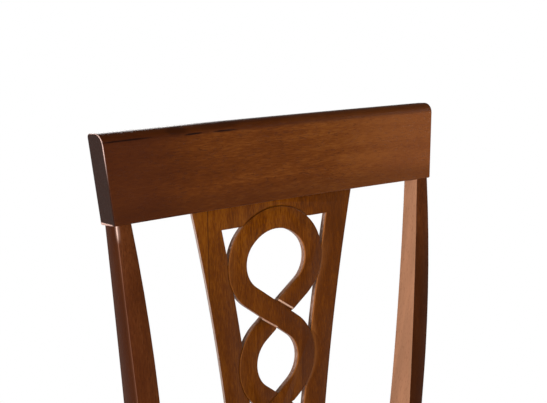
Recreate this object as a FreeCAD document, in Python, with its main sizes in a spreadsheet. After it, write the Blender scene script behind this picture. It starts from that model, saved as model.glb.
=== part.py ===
"""Dining chair in stained wood with a curved crest rail and a pierced, interlaced splat.

The chair faces -Y, +Z is up and the origin lies on the floor under the middle of the
whole chair. Lengths are millimetres. Every driving size is a cell of the sheet, and the
pieces are made in a working frame whose Y is 0 on the front faces of the back posts at
seat height; one shift then centres the chair on the origin.
"""
import FreeCAD, Part
import math
import os

import Sketcher

doc = FreeCAD.newDocument("SplatBackChair")
sheet = doc.addObject("Spreadsheet::Sheet", "Sizes")

SIZES = {
    # Crest rail, measured along its own rake
    "crest_length": 450.0,
    "crest_flare": 8.7,
    "crest_height": 90.5,
    "crest_thick": 25.5,
    "crest_bow": 8.8,
    "crest_rake": 9.45,
    "crest_roll": 12.0,
    "crest_back_round": 4.0,
    "crest_arris": 1.5,
    "crest_end_arris": 1.2,
    "crest_foot_z": 885.0,
    "crest_foot_y": 47.9,
    # Back posts, seen from the side
    "post_front_setback": 2.1,
    "post_top_depth": 21.0,
    "post_seat_depth": 42.0,
    "post_front_bend_z": 388.0,
    "post_back_bend_z": 553.0,
    "leg_bend_z": 360.0,
    "foot_setback": 45.0,
    "foot_depth": 32.0,
    # Back posts, seen from the front
    "post_top_out": 222.2,
    "post_top_in": 204.5,
    "post_mid_z": 635.0,
    "post_mid_out": 205.3,
    "post_mid_in": 181.2,
    "post_out_radius": 3731.0,
    "post_in_radius": 3290.0,
    "post_waist_z": 445.0,
    "post_knee_radius": 900.0,
    "post_tenon_wide": 11.0,
    "post_tenon_thick": 10.0,
    "post_tenon_long": 28.0,
    # Splat board
    "splat_rake": 5.83,
    "splat_top_y": 72.9,
    "splat_thick": 7.5,
    "splat_top_half": 116.8,
    "splat_mid_half": 79.7,
    "splat_low_half": 59.7,
    "splat_mid_drop": 201.0,
    "splat_low_drop": 402.0,
    "splat_housing": 12.0,
    "splat_side_frame": 34.0,
    "splat_window_top": 30.0,
    "splat_window_foot": 372.0,
    "splat_back_bevel": 4.0,
    "splat_tongue": 4.5,
    # Interlaced strap carved in the splat
    "strap_half": 12.5,
    "strap_angle": 35.3,
    "strap_low_angle": 36.0,
    "ring_top": 25.7,
    "ring_half": 55.4,
    "ring_radius": 44.0,
    "first_crossing": 136.6,
    "loop_half": 43.0,
    "loop_radius": 45.3,
    "small_loop_half": 28.0,
    "small_loop_radius": 45.0,
    "groove_depth": 1.6,
    "groove_width": 3.0,
    # Seat frame
    "seat_rail_top": 425.0,
    "seat_rail_height": 60.0,
    "seat_rail_thick": 22.0,
    "rear_rail_thick": 24.0,
    "rear_rail_setback": 18.0,
    "seat_depth": 375.0,
    "front_half": 225.0,
    "rail_setback": 2.5,
    "tenon_thick": 10.0,
    "tenon_height": 40.0,
    "tenon_long": 18.0,
    "rear_tenon_long": 14.0,
    # Front legs
    "front_leg": 38.0,
    "front_foot": 28.0,
    "leg_arris": 1.8,
    "rail_arris": 1.5,
    # Stretchers
    "stretcher_z": 150.0,
    "stretcher_height": 30.0,
    "stretcher_thick": 16.0,
    "stretcher_housing": 12.0,
    "middle_height": 24.0,
    "middle_housing": 6.0,
    "middle_y": -165.0,
    # Shoe under the splat
    "shoe_setback": 21.0,
    "shoe_depth": 22.0,
    "shoe_height": 40.0,
    "shoe_half": 76.0,
    "shoe_bevel": 5.0,
    # Corner blocks, with their screws
    "block_reach": 58.0,
    "block_height": 40.0,
    "screw_shank": 4.0,
    "screw_head": 8.0,
    "screw_head_thick": 3.0,
    "screw_bite": 14.0,
    "screw_bore": 9.0,
    "block_cheek": 15.0,
    "screw_inset": 34.0,
    "screw_crown": 1.2,
    "seat_screw_inset": 11.5,
    "seat_screw_bite": 9.0,
    # Upholstered seat
    "cloth_thick": 1.0,
    "board_thick": 12.0,
    "board_inset": 4.0,
    "pad_overhang": 4.0,
    "pad_corner": 30.0,
    "pad_height": 52.0,
    "pad_crown": 7.0,
    "pad_crown_reach": 60.0,
    "pad_shoulder": 14.0,
    "pad_notch_gap": 3.0,
    "pad_foot_round": 3.0,
    "pad_gap": 1.5,
    # Glides
    "glide_height": 4.0,
    "glide_wide": 20.0,
    "glide_pin": 4.0,
    "glide_pin_long": 14.0,
    "glide_crown": 1.5,
    # Clearances
    "joint_play": 0.05,
    "joint_relief": 1.0,
    "soft_play": 0.3,
}


class Size:
    """A length or angle that carries both its value and the sheet expression for it."""

    def __init__(self, text, number):
        self.text = text
        self.number = number

    @staticmethod
    def of(value):
        if isinstance(value, Size):
            return value
        return Size(repr(float(value)), float(value))

    def __add__(self, other):
        other = Size.of(other)
        return Size("(%s + %s)" % (self.text, other.text), self.number + other.number)

    def __radd__(self, other):
        return Size.of(other) + self

    def __sub__(self, other):
        other = Size.of(other)
        return Size("(%s - %s)" % (self.text, other.text), self.number - other.number)

    def __rsub__(self, other):
        return Size.of(other) - self

    def __mul__(self, other):
        other = Size.of(other)
        return Size("(%s * %s)" % (self.text, other.text), self.number * other.number)

    def __rmul__(self, other):
        return Size.of(other) * self

    def __truediv__(self, other):
        other = Size.of(other)
        return Size("(%s / %s)" % (self.text, other.text), self.number / other.number)

    def __neg__(self):
        return Size.of(0) - self


def sine(angle):
    return Size("sin(%s)" % angle.text, math.sin(math.radians(angle.number)))


def cosine(angle):
    return Size("cos(%s)" % angle.text, math.cos(math.radians(angle.number)))


def tangent(angle):
    return sine(angle) / cosine(angle)


def root(value):
    return Size("sqrt(%s)" % value.text, math.sqrt(value.number))


def fill_sheet():
    for row, (name, value) in enumerate(SIZES.items(), start=1):
        cell = "A%d" % row
        sheet.set(cell, repr(value))
        sheet.setAlias(cell, name)
    doc.recompute()


def size(name):
    """A size of the sheet, by its alias."""
    return Size("Sizes." + name, float(sheet.get(name)))


fill_sheet()

# How far a cut runs past the face it leaves through
OVERRUN = 5.0
# How closely an edge must lie in a plane to be taken as part of it
FLAT = 1e-4
# How much wider than itself the swept blank of the crest rail is
SWEEP_MARGIN = 2.4
# Rise and inset of the pad's rounded shoulder at each loft section, as parts of its radius
SHOULDER_STEPS = ((0.0, 0.0), (0.5, 0.134), (0.866, 0.5), (1.0, 1.0))
# Rise and inset over the crown, as parts of the crown and its reach
CROWN_STEPS = ((0.6, 0.4), (1.0, 1.0))
# Edges shorter than this are left sharp
SHORT_ARRIS = 20.0

# Sizes that follow from the driving ones
crest_arc = (size("crest_length") * size("crest_length") / 4 + size("crest_bow") * size("crest_bow")) / (
    size("crest_bow") * 2
)
crest_top_half = size("crest_length") / 2 + size("crest_flare")
crest_back_reach = (
    size("crest_foot_y")
    + (size("crest_bow") + size("crest_thick")) * cosine(size("crest_rake"))
    + (size("crest_height") - size("crest_back_round")) * sine(size("crest_rake"))
)


def slope_at_foot(top_x, foot_x, rise, radius, way):
    """Sine and cosine of an arc's slope at its foot: way is 1 if it is steeper there than its chord."""
    run = top_x - foot_x
    chord = root(run * run + rise * rise)
    half = chord / (radius * 2)
    across = root(1 - half * half)
    return (run * across + rise * half * way) / chord, (rise * across - run * half * way) / chord


# The posts' outer faces run upright to the waist, the inner faces bend over a knee below it
post_upper_rise = size("crest_foot_z") - size("post_mid_z")
out_sine, out_cosine = slope_at_foot(
    size("post_top_out"), size("post_mid_out"), post_upper_rise, size("post_out_radius"), 1
)
post_waist_radius = (size("post_mid_z") - size("post_waist_z")) / out_sine
post_seat_out = size("post_mid_out") - post_waist_radius * (1 - out_cosine)
in_sine, in_cosine = slope_at_foot(
    size("post_top_in"), size("post_mid_in"), post_upper_rise, size("post_in_radius"), -1
)
knee_rise = size("post_knee_radius") * in_sine
knee_set = size("post_knee_radius") * (1 - in_cosine)
knee_top_z = size("post_waist_z") + knee_rise
post_seat_in = size("post_mid_in") - (size("post_mid_z") - knee_top_z) * in_sine / in_cosine - knee_set

pad_front_y = -(size("seat_depth") + size("pad_overhang"))
CENTRE_SHIFT = -(pad_front_y.number + crest_back_reach.number) / 2


def chair_place(x=0.0, y=0.0, z=0.0, turn=0.0):
    """Placement of a piece whose working origin is (x, y, z), turned about X by turn degrees."""
    rotation = FreeCAD.Rotation(FreeCAD.Vector(1, 0, 0), turn)
    return FreeCAD.Placement(FreeCAD.Vector(x, y + CENTRE_SHIFT, z), rotation)


def new_body(name):
    body = doc.addObject("PartDesign::Body", name)
    body.Label = name
    return body


def new_sketch(body, name, role, offset=None):
    """An empty sketch on one of the body's own planes, moved along the plane's normal by offset."""
    sketch = body.newObject("Sketcher::SketchObject", name)
    plane = [feature for feature in body.Origin.OriginFeatures if feature.Role == role][0]
    sketch.AttachmentSupport = [(plane, "")]
    sketch.MapMode = "FlatFace"
    if offset is not None:
        sketch.setExpression("AttachmentOffset.Base.z", offset.text)
    return sketch


def arc_between(start, end, radius):
    """The minor arc from start to end; a positive radius bows to the right of the way there."""
    chord = end - start
    half = chord.Length / 2
    rise = math.sqrt(radius * radius - half * half)
    left = FreeCAD.Vector(-chord.y, chord.x, 0).normalize()
    middle = (start + end) / 2
    centre = middle + left * (rise if radius > 0 else -rise)
    first, last = (start, end) if radius > 0 else (end, start)
    low = math.atan2(first.y - centre.y, first.x - centre.x)
    high = math.atan2(last.y - centre.y, last.x - centre.x)
    circle = Part.Circle(centre, FreeCAD.Vector(0, 0, 1), abs(radius))
    return Part.ArcOfCircle(circle, low, high)


def outline(sketch, corners):
    """Close an outline through corners (x, y) or (x, y, radius of the arc that leaves there)."""
    count = len(corners)
    places = [FreeCAD.Vector(Size.of(c[0]).number, Size.of(c[1]).number, 0) for c in corners]
    edges = []
    for index, corner in enumerate(corners):
        start, end = places[index], places[(index + 1) % count]
        if len(corner) > 2:
            radius = Size.of(corner[2])
            item = sketch.addGeometry(arc_between(start, end, radius.number))
            key = sketch.addConstraint(Sketcher.Constraint("Radius", item, abs(radius.number)))
            sketch.setExpression("Constraints[%d]" % key, "abs(%s)" % radius.text)
            edges.append((item, 1, 2) if radius.number > 0 else (item, 2, 1))
        else:
            item = sketch.addGeometry(Part.LineSegment(start, end))
            edges.append((item, 1, 2))
    for index, (item, begin, finish) in enumerate(edges):
        after, after_begin, _ = edges[(index + 1) % count]
        sketch.addConstraint(Sketcher.Constraint("Coincident", item, finish, after, after_begin))
        for kind, value in (("DistanceX", corners[index][0]), ("DistanceY", corners[index][1])):
            value = Size.of(value)
            key = sketch.addConstraint(Sketcher.Constraint(kind, -1, 1, item, begin, value.number))
            sketch.setExpression("Constraints[%d]" % key, value.text)


def pad(body, name, sketch, length, midplane=False):
    feature = body.newObject("PartDesign::Pad", name)
    feature.Profile = sketch
    feature.Midplane = midplane
    feature.setExpression("Length", length.text)
    return feature


def pocket(body, name, sketch, depth, upward=True, midplane=False):
    """Cut the sketch's outline out of the body, along the plane's normal when upward."""
    feature = body.newObject("PartDesign::Pocket", name)
    feature.Profile = sketch
    feature.Midplane = midplane
    feature.Reversed = upward
    feature.setExpression("Length", depth.text)
    return feature


def round_edges(body, name, base, wanted, radius, kind="PartDesign::Fillet"):
    """Round the edges of base for which wanted(edge) holds."""
    doc.recompute()
    names = ["Edge%d" % (index + 1) for index, edge in enumerate(base.Shape.Edges) if wanted(edge)]
    feature = body.newObject(kind, name)
    feature.Base = (base, names)
    feature.setExpression("Radius" if kind.endswith("Fillet") else "Size", radius.text)
    return feature


def quad(x_front, x_rear, y_front, y_rear, half):
    """Plan of a straight member between two cross planes, as four corners."""
    return [
        (x_front - half, y_front),
        (x_front + half, y_front),
        (x_rear + half, y_rear),
        (x_rear - half, y_rear),
    ]


class Run:
    """A member that runs from the front of the chair to the back, seen in plan."""

    def __init__(self, x_front, y_front, x_rear, y_rear):
        self.x_front, self.y_front = x_front, y_front
        self.slope = (x_rear - x_front) / (y_rear - y_front)

    def x_at(self, y):
        return self.x_front + (y - self.y_front) * self.slope

    def plan(self, y_front, y_rear, half, side):
        corners = quad(self.x_at(y_front), self.x_at(y_rear), y_front, y_rear, half)
        return [(x * side, y) for x, y in corners]


front_y = -size("seat_depth")
leg_back_y = front_y + size("front_leg")
rail_half = size("seat_rail_thick") / 2
side_rail_run = Run(
    size("front_half") - size("rail_setback") - rail_half,
    leg_back_y,
    post_seat_out - size("rail_setback") - rail_half,
    Size.of(0),
)
tenon_z = size("seat_rail_top") - (size("seat_rail_height") + size("tenon_height")) / 2
rail_foot_z = size("seat_rail_top") - size("seat_rail_height")
front_rail_mid_y = front_y + size("rail_setback") + rail_half
rear_rail_mid_y = size("rear_rail_setback") + size("rear_rail_thick") / 2
play = size("joint_play")
relief = size("joint_relief")

# Where the stretchers meet the legs, at their own mid height
stretcher_mid_z = size("stretcher_z") + size("stretcher_height") / 2
leg_taper = (size("front_leg") - size("front_foot")) / (rail_foot_z - size("glide_height"))
front_leg_low = size("front_foot") + leg_taper * (stretcher_mid_z - size("glide_height"))
leg_drop = size("leg_bend_z") - stretcher_mid_z
leg_sweep = size("leg_bend_z") - size("glide_height")
leg_front_arc = (leg_sweep * leg_sweep + size("foot_setback") * size("foot_setback")) / (size("foot_setback") * 2)
foot_back_set = size("foot_setback") + size("foot_depth") - size("post_seat_depth")
leg_back_arc = (leg_sweep * leg_sweep + foot_back_set * foot_back_set) / (foot_back_set * 2)
rear_leg_front_y = leg_front_arc - root(leg_front_arc * leg_front_arc - leg_drop * leg_drop)
stretcher_run = Run(
    size("front_half") - front_leg_low / 2,
    front_y + front_leg_low,
    (post_seat_in + post_seat_out) / 2,
    rear_leg_front_y,
)
stretcher_front_y = front_y + front_leg_low - size("stretcher_housing")
stretcher_rear_y = rear_leg_front_y + size("stretcher_housing")
foot_mid_x = (post_seat_in + post_seat_out) / 2
foot_mid_y = size("foot_setback") + size("foot_depth") / 2
front_foot_mid_x = size("front_half") - size("front_foot") / 2
front_foot_mid_y = front_y + size("front_foot") / 2


def mortise(body, name, corners, z, height):
    """A pocket over corners from z upwards."""
    sketch = new_sketch(body, name + "_outline", "XY_Plane", z)
    outline(sketch, corners)
    return pocket(body, name, sketch, height)


def drill(body, name, role, offset, place, radius, depth, upward=True):
    """A round hole from a point of one of the body's planes, along the plane's normal when upward."""
    sketch = new_sketch(body, name + "_outline", role, offset)
    middle = FreeCAD.Vector(place[0].number, place[1].number, 0)
    circle = Part.Circle(middle, FreeCAD.Vector(0, 0, 1), radius.number)
    item = sketch.addGeometry(circle)
    for kind, value in zip(("DistanceX", "DistanceY"), place):
        key = sketch.addConstraint(Sketcher.Constraint(kind, -1, 1, item, 3, value.number))
        sketch.setExpression("Constraints[%d]" % key, value.text)
    key = sketch.addConstraint(Sketcher.Constraint("Radius", item, radius.number))
    sketch.setExpression("Constraints[%d]" % key, radius.text)
    return pocket(body, name, sketch, depth, upward)


def glide_hole(body, name, place):
    """The hole under a foot for the pin of its glide."""
    return drill(
        body,
        name,
        "XY_Plane",
        size("glide_height"),
        place,
        size("glide_pin") / 2 + play,
        size("glide_pin_long") + relief,
    )


def crest_local(y, z):
    """A point of the side view in the crest rail's raked frame, back in the working frame."""
    rake = size("crest_rake")
    return (
        size("crest_foot_y") + y * cosine(rake) + z * sine(rake),
        size("crest_foot_z") - y * sine(rake) + z * cosine(rake),
    )


# The post meets the underside of the crest rail over this stretch of its thickness
post_tenon_mid = size("post_front_setback") + size("post_top_depth") / 2
post_tenon_x = (size("post_top_in") + size("post_top_out")) / 2
# The blank a post is sawn from reaches from near to far across the chair
post_blank_near = post_seat_in / 2
post_blank_far = size("post_top_out") * 5 / 4


def side_profile():
    """Side view of a back post: raked top, sweeping back above the seat and below it."""
    top_front = crest_local(size("post_front_setback"), Size.of(0))
    top_back = crest_local(size("post_front_setback") + size("post_top_depth"), Size.of(0))
    rise = top_front[1] - size("post_front_bend_z")
    front_arc = (rise * rise + top_front[0] * top_front[0]) / (top_front[0] * 2)
    back_set = top_back[0] - size("post_seat_depth")
    back_rise = top_back[1] - size("post_back_bend_z")
    back_arc = (back_rise * back_rise + back_set * back_set) / (back_set * 2)
    foot_z = size("glide_height")
    return [
        (size("foot_setback"), foot_z),
        (size("foot_setback") + size("foot_depth"), foot_z, -leg_back_arc),
        (size("post_seat_depth"), size("leg_bend_z")),
        (size("post_seat_depth"), size("post_back_bend_z"), -back_arc),
        top_back,
        (top_front[0], top_front[1], front_arc),
        (Size.of(0), size("post_front_bend_z")),
        (Size.of(0), size("leg_bend_z"), leg_front_arc),
    ]


def front_waste():
    """What the second sawing takes off a post blank: outside and inside, seen from the front."""
    top_z = size("crest_foot_z") + size("post_tenon_long")
    far = post_blank_far + OVERRUN
    near = post_blank_near - OVERRUN
    low_z = size("glide_height") - OVERRUN
    outside = [
        (-post_seat_out, low_z),
        (-far, low_z),
        (-far, top_z),
        (-size("post_top_out"), top_z),
        (-size("post_top_out"), size("crest_foot_z"), size("post_out_radius")),
        (-size("post_mid_out"), size("post_mid_z"), -post_waist_radius),
        (-post_seat_out, size("post_waist_z")),
    ]
    inside = [
        (-post_seat_in, low_z),
        (-post_seat_in, size("post_waist_z"), -size("post_knee_radius")),
        (-(post_seat_in + knee_set), knee_top_z),
        (-size("post_mid_in"), size("post_mid_z"), size("post_in_radius")),
        (-size("post_top_in"), size("crest_foot_z")),
        (-size("post_top_in"), top_z),
        (-near, top_z),
        (-near, low_z),
    ]
    return outside, inside


def left_post():
    """The left back post and rear leg in one, sawn from the side and then from the front."""
    name = "left_back_post"
    body = new_body(name)
    profile = new_sketch(body, "post_side_view", "YZ_Plane", -post_blank_near)
    outline(profile, side_profile())
    blank = pad(body, "post_blank", profile, post_blank_far - post_blank_near)
    blank.Reversed = True
    for label, corners in zip(("outside", "inside"), front_waste()):
        waste = new_sketch(body, "post_%s_waste" % label, "XZ_Plane")
        outline(waste, corners)
        pocket(body, "post_%s_saw" % label, waste, size("seat_depth") * 2, midplane=True)
    tenon = new_sketch(body, "post_tenon_view", "YZ_Plane", size("post_tenon_wide") / 2 - post_tenon_x)
    half = size("post_tenon_thick") / 2
    root_z = Size.of(-OVERRUN)
    outline(
        tenon,
        [
            crest_local(post_tenon_mid - half, root_z),
            crest_local(post_tenon_mid + half, root_z),
            crest_local(post_tenon_mid + half, size("post_tenon_long")),
            crest_local(post_tenon_mid - half, size("post_tenon_long")),
        ],
    )
    tongue = pad(body, "post_tenon", tenon, size("post_tenon_wide"))
    tongue.Reversed = True
    half = size("tenon_thick") / 2 + play
    reach = size("tenon_long") + relief
    high = size("tenon_height") + play * 2
    plan = side_rail_run.plan(Size.of(-OVERRUN), reach, half, -1)
    mortise(body, "post_side_mortise", plan, tenon_z - play, high)
    inner = post_seat_in - OVERRUN
    outer = post_seat_in + size("rear_tenon_long") + relief
    plan = [
        (-inner, rear_rail_mid_y - half),
        (-outer, rear_rail_mid_y - half),
        (-outer, rear_rail_mid_y + half),
        (-inner, rear_rail_mid_y + half),
    ]
    mortise(body, "post_rear_mortise", plan, tenon_z - play, high)
    half = size("stretcher_thick") / 2 + play
    high = size("stretcher_height") + play * 2
    plan = stretcher_run.plan(Size.of(-OVERRUN), stretcher_rear_y + relief, half, -1)
    mortise(body, "post_stretcher_housing", plan, size("stretcher_z") - play, high)
    glide_hole(body, "post_glide_hole", (-foot_mid_x, foot_mid_y))
    body.Placement = chair_place()
    return body


def right_post(left):
    """The right back post: the left one mirrored across the chair."""
    other = doc.addObject("Part::Mirroring", "right_back_post")
    other.Label = "right_back_post"
    other.Source = left
    other.Normal = FreeCAD.Vector(1, 0, 0)
    return other


def crest_section():
    """Section of the crest rail at its middle, its front top edge rolled over."""
    front, back = size("crest_bow"), size("crest_bow") + size("crest_thick")
    top = size("crest_height")
    arris, roll, back_round = size("crest_arris"), size("crest_roll"), size("crest_back_round")
    return [
        (front + arris, Size.of(0)),
        (back - arris, Size.of(0), arris),
        (back, arris),
        (back, top - back_round, back_round),
        (back - back_round, top),
        (front + roll, top, roll),
        (front, top - roll),
        (front, arris, arris),
    ]


def crest_rail():
    """The crest rail: a section swept round the bow, raked, and sawn to flared ends."""
    body = new_body("crest_rail")
    section = new_sketch(body, "crest_section", "YZ_Plane")
    outline(section, crest_section())
    bow_axis = section.addGeometry(Part.LineSegment(FreeCAD.Vector(-1, 0, 0), FreeCAD.Vector(-1, 1, 0)), True)
    axis_y = size("crest_bow") - crest_arc
    for point, height in ((1, Size.of(0)), (2, size("crest_height"))):
        for kind, value in (("DistanceX", axis_y), ("DistanceY", height)):
            key = section.addConstraint(Sketcher.Constraint(kind, -1, 1, bow_axis, point, value.number))
            section.setExpression("Constraints[%d]" % key, value.text)
    doc.recompute()
    last = body.newObject("PartDesign::Revolution", "crest_sweep")
    last.Profile = section
    last.ReferenceAxis = (section, ["Axis0"])
    last.Midplane = True
    last.setExpression("Angle", (crest_top_half * SWEEP_MARGIN / crest_arc * math.degrees(1)).text)
    for side, label in ((-1, "left"), (1, "right")):
        ends = new_sketch(body, "crest_%s_flare" % label, "XZ_Plane")
        far = crest_top_half * SWEEP_MARGIN
        outline(
            ends,
            [
                (size("crest_length") / 2 * side, 0),
                (crest_top_half * side, size("crest_height")),
                (far * side, size("crest_height") + OVERRUN),
                (far * side, -OVERRUN),
            ],
        )
        last = pocket(body, "crest_%s_end" % label, ends, size("crest_length"), midplane=True)
    reach = size("crest_length").number / 2 - FLAT

    def at_end(edge):
        return abs(edge.CenterOfMass.x) > reach

    round_edges(body, "crest_ends", last, at_end, size("crest_end_arris"))
    half_wide = size("post_tenon_wide") / 2 + play
    half_thick = size("post_tenon_thick") / 2 + play
    for side, label in ((-1, "left"), (1, "right")):
        mid_x = post_tenon_x * side
        mortise(
            body,
            "crest_%s_mortise" % label,
            [
                (mid_x - half_wide, post_tenon_mid - half_thick),
                (mid_x + half_wide, post_tenon_mid - half_thick),
                (mid_x + half_wide, post_tenon_mid + half_thick),
                (mid_x - half_wide, post_tenon_mid + half_thick),
            ],
            Size.of(0),
            size("post_tenon_long") + relief,
        )
    groove = new_sketch(body, "crest_groove_view", "YZ_Plane")
    outline(groove, [splat_in_crest(w, v) for w, v in groove_corners()])
    pocket(body, "crest_groove", groove, (splat_housed_half() + play) * 2, midplane=True)
    body.Placement = chair_place(
        0.0, size("crest_foot_y").number, size("crest_foot_z").number, -size("crest_rake").number
    )
    return body


def splat_half_at(drop):
    """Half width of the splat at a drop below the foot of the crest rail."""
    top, mid, low = (size("splat_%s_half" % part) for part in ("top", "mid", "low"))
    a, b = size("splat_mid_drop"), size("splat_low_drop")
    bend = ((low - top) / b - (mid - top) / a) / (b - a)
    slope = (mid - top) / a - bend * a
    return top + slope * drop + bend * drop * drop


def splat_crest_drop():
    """How far below the splat's datum its front face meets the underside of the crest rail."""
    lean = size("crest_rake") - size("splat_rake")
    set_in = size("splat_top_y") - size("crest_foot_y")
    return set_in * sine(size("crest_rake")) / cosine(lean)


def splat_housed_half():
    return splat_half_at(splat_crest_drop() - size("splat_housing"))


def groove_corners():
    """The housing for the splat's tongue, as (depth behind its face, height over its datum)."""
    low = -splat_crest_drop() - OVERRUN
    high = -splat_crest_drop() + size("splat_housing") + relief
    back = size("splat_tongue") + play
    return [(-play, low), (back, low), (back, high), (-play, high)]


def splat_in_crest(depth, height):
    """A point of the splat's side view in the crest rail's raked frame."""
    lean = size("splat_rake")
    y = size("splat_top_y") + depth * cosine(lean) + height * sine(lean) - size("crest_foot_y")
    z = height * cosine(lean) - depth * sine(lean)
    rake = size("crest_rake")
    return (y * cosine(rake) - z * sine(rake), y * sine(rake) + z * cosine(rake))


class Strap:
    """The interlaced strap: straight crossings joined by tangent arcs, in the splat's plane.

    Heights in this plane count down from the foot of the crest rail, along the splat's rake.
    """

    def __init__(self):
        self.half = size("strap_half").number
        self.ring_top = size("ring_top").number
        self.angles = [math.radians(size("strap_angle").number)]
        self.angles += [math.radians(size("strap_low_angle").number)] * 2
        self.crossings = [-size("first_crossing").number]
        self.lobes = [self.ring(size("ring_half").number, size("ring_radius").number)]
        self.lobes.append(self.loop("loop", self.angles[0], self.angles[1]))
        self.lobes.append(self.loop("small_loop", self.angles[1], self.angles[2]))

    def ring(self, reach, radius):
        """The top ring: a side arc that leaves the crossing's line, closed by a crown arc."""
        angle = self.angles[0]
        run = (reach - radius * (1 - math.sin(angle))) / math.cos(angle)
        wide_v = self.crossings[0] + run * math.sin(angle) + radius * math.cos(angle)
        rise, inset = -self.ring_top - wide_v, reach - radius
        crown = (rise * rise + inset * inset - radius * radius) / (2 * (rise - radius))
        crown_v = -self.ring_top - crown
        return {
            "centre": FreeCAD.Vector(inset, wide_v, 0),
            "radius": radius,
            "from": -(math.pi / 2 - angle),
            "to": math.atan2(wide_v - crown_v, inset),
            "crown": crown,
            "crown_centre": FreeCAD.Vector(0, crown_v, 0),
        }

    def loop(self, name, upper, lower):
        """A loop between two crossings: one side arc with a straight run at each end."""
        reach, radius = size(name + "_half").number, size(name + "_radius").number
        upper_run = (reach - radius * (1 - math.sin(upper))) / math.cos(upper)
        lower_run = (reach - radius * (1 - math.sin(lower))) / math.cos(lower)
        wide_v = self.crossings[-1] - upper_run * math.sin(upper) - radius * math.cos(upper)
        self.crossings.append(wide_v - lower_run * math.sin(lower) - radius * math.cos(lower))
        return {
            "centre": FreeCAD.Vector(reach - radius, wide_v, 0),
            "radius": radius,
            "from": -(math.pi / 2 - lower),
            "to": math.pi / 2 - upper,
        }


def mirrored(point):
    return FreeCAD.Vector(-point.x, point.y, point.z)


def on_arc(centre, radius, angle):
    return FreeCAD.Vector(centre.x + radius * math.cos(angle), centre.y + radius * math.sin(angle), 0)


def arc_edge(centre, radius, low, high):
    middle = (low + high) / 2
    points = [on_arc(centre, radius, angle) for angle in (low, middle, high)]
    return Part.Arc(*points).toShape()


def band_face(centre, radius, half, low, high):
    """A piece of strap that follows an arc."""
    outer = arc_edge(centre, radius + half, low, high)
    inner = arc_edge(centre, radius - half, low, high)
    ends = []
    for angle in (low, high):
        across = Part.LineSegment(on_arc(centre, radius - half, angle), on_arc(centre, radius + half, angle))
        ends.append(across.toShape())
    return Part.Face(Part.Wire(Part.__sortEdges__([outer, ends[1], inner, ends[0]])))


def straight_face(start, end, half):
    """A piece of strap that runs straight."""
    along = end - start
    across = FreeCAD.Vector(-along.y, along.x, 0).normalize() * half
    corners = [start - across, end - across, end + across, start + across]
    return Part.Face(Part.makePolygon(corners + corners[:1]))


def strap_faces(strap, foot_v):
    """Plan of the strap as faces: arcs of every lobe and the straight runs between them."""
    faces = []
    for mirror in (1, -1):
        ends = []
        for lobe in strap.lobes:
            centre = FreeCAD.Vector(lobe["centre"].x * mirror, lobe["centre"].y, 0)
            angles = [lobe["from"], lobe["to"]]
            if mirror < 0:
                angles = [math.pi - angle for angle in angles]
            faces.append(band_face(centre, lobe["radius"], strap.half, *sorted(angles)))
            ends.append([on_arc(centre, lobe["radius"], angle) for angle in angles])
        for upper, lower in zip(ends, ends[1:]):
            faces.append(straight_face(upper[0], mirrored(lower[1]), strap.half))
        start = ends[-1][0]
        fall = (foot_v - start.y) / math.sin(strap.angles[-1])
        heading = FreeCAD.Vector(math.cos(strap.angles[-1]) * mirror, math.sin(strap.angles[-1]), 0)
        faces.append(straight_face(start, start + heading * fall, strap.half))
    ring = strap.lobes[0]
    faces.append(band_face(ring["crown_centre"], ring["crown"], strap.half, ring["to"], math.pi - ring["to"]))
    return faces


def splat_outline_face(top, foot, inset):
    """The splat's outline between two heights, with gently hollow sides."""
    heights = [top, (top + foot) / 2, foot]
    right = [FreeCAD.Vector(splat_half_at(Size.of(-height)).number - inset, height, 0) for height in heights]
    left = [mirrored(point) for point in right]
    edges = [
        Part.Arc(*right).toShape(),
        Part.LineSegment(right[2], left[2]).toShape(),
        Part.Arc(left[2], left[1], left[0]).toShape(),
        Part.LineSegment(left[0], right[0]).toShape(),
    ]
    return Part.Face(Part.Wire(edges))


def groove_section():
    """Section of the carved outline: upright beside the strap, sloping out to the board's face."""
    depth, width = size("groove_depth").number, size("groove_width").number
    clear = depth / 4
    points = [
        FreeCAD.Vector(0, 0, clear),
        FreeCAD.Vector(0, 0, -depth),
        FreeCAD.Vector(width * (1 + clear / depth), 0, clear),
    ]
    return Part.Face(Part.makePolygon(points + points[:1]))


def arc_groove(section, centre, radius, low, high):
    """Carve outside an arc of the strap: the section is turned about the arc's centre."""
    cutter = section.copy()
    cutter.translate(FreeCAD.Vector(radius, 0, 0))
    cutter.rotate(FreeCAD.Vector(0, 0, 0), FreeCAD.Vector(0, 0, 1), math.degrees(low))
    cutter.translate(centre)
    return cutter.revolve(centre, FreeCAD.Vector(0, 0, 1), math.degrees(high - low))


def straight_groove(section, start, end, outward):
    """Carve along a straight edge of the strap, sloping away towards outward."""
    cutter = section.copy()
    angle = math.degrees(math.atan2(outward.y, outward.x))
    cutter.rotate(FreeCAD.Vector(0, 0, 0), FreeCAD.Vector(0, 0, 1), angle)
    cutter.translate(start)
    return cutter.extrude(end - start)


def crossing_grooves(strap, section):
    """Carved lines along both edges of the strand on top, the strands taking turns to be on top."""
    cutters = []
    for index, crossing in enumerate(strap.crossings):
        angle = strap.angles[index]
        over = -1 if index % 2 == 0 else 1
        along = FreeCAD.Vector(math.cos(angle), over * math.sin(angle), 0)
        across = FreeCAD.Vector(-along.y, along.x, 0)
        middle = FreeCAD.Vector(0, crossing, 0)
        half_run = strap.half / math.sin(2 * angle)
        skew = -over * strap.half / math.tan(2 * angle)
        for way in (1, -1):
            edge_middle = middle + across * (strap.half * way) + along * (skew * way)
            start = edge_middle - along * (half_run + OVERRUN / 2)
            end = edge_middle + along * (half_run + OVERRUN / 2)
            cutters.append(straight_groove(section, start, end, across * way))
    return cutters


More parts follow.
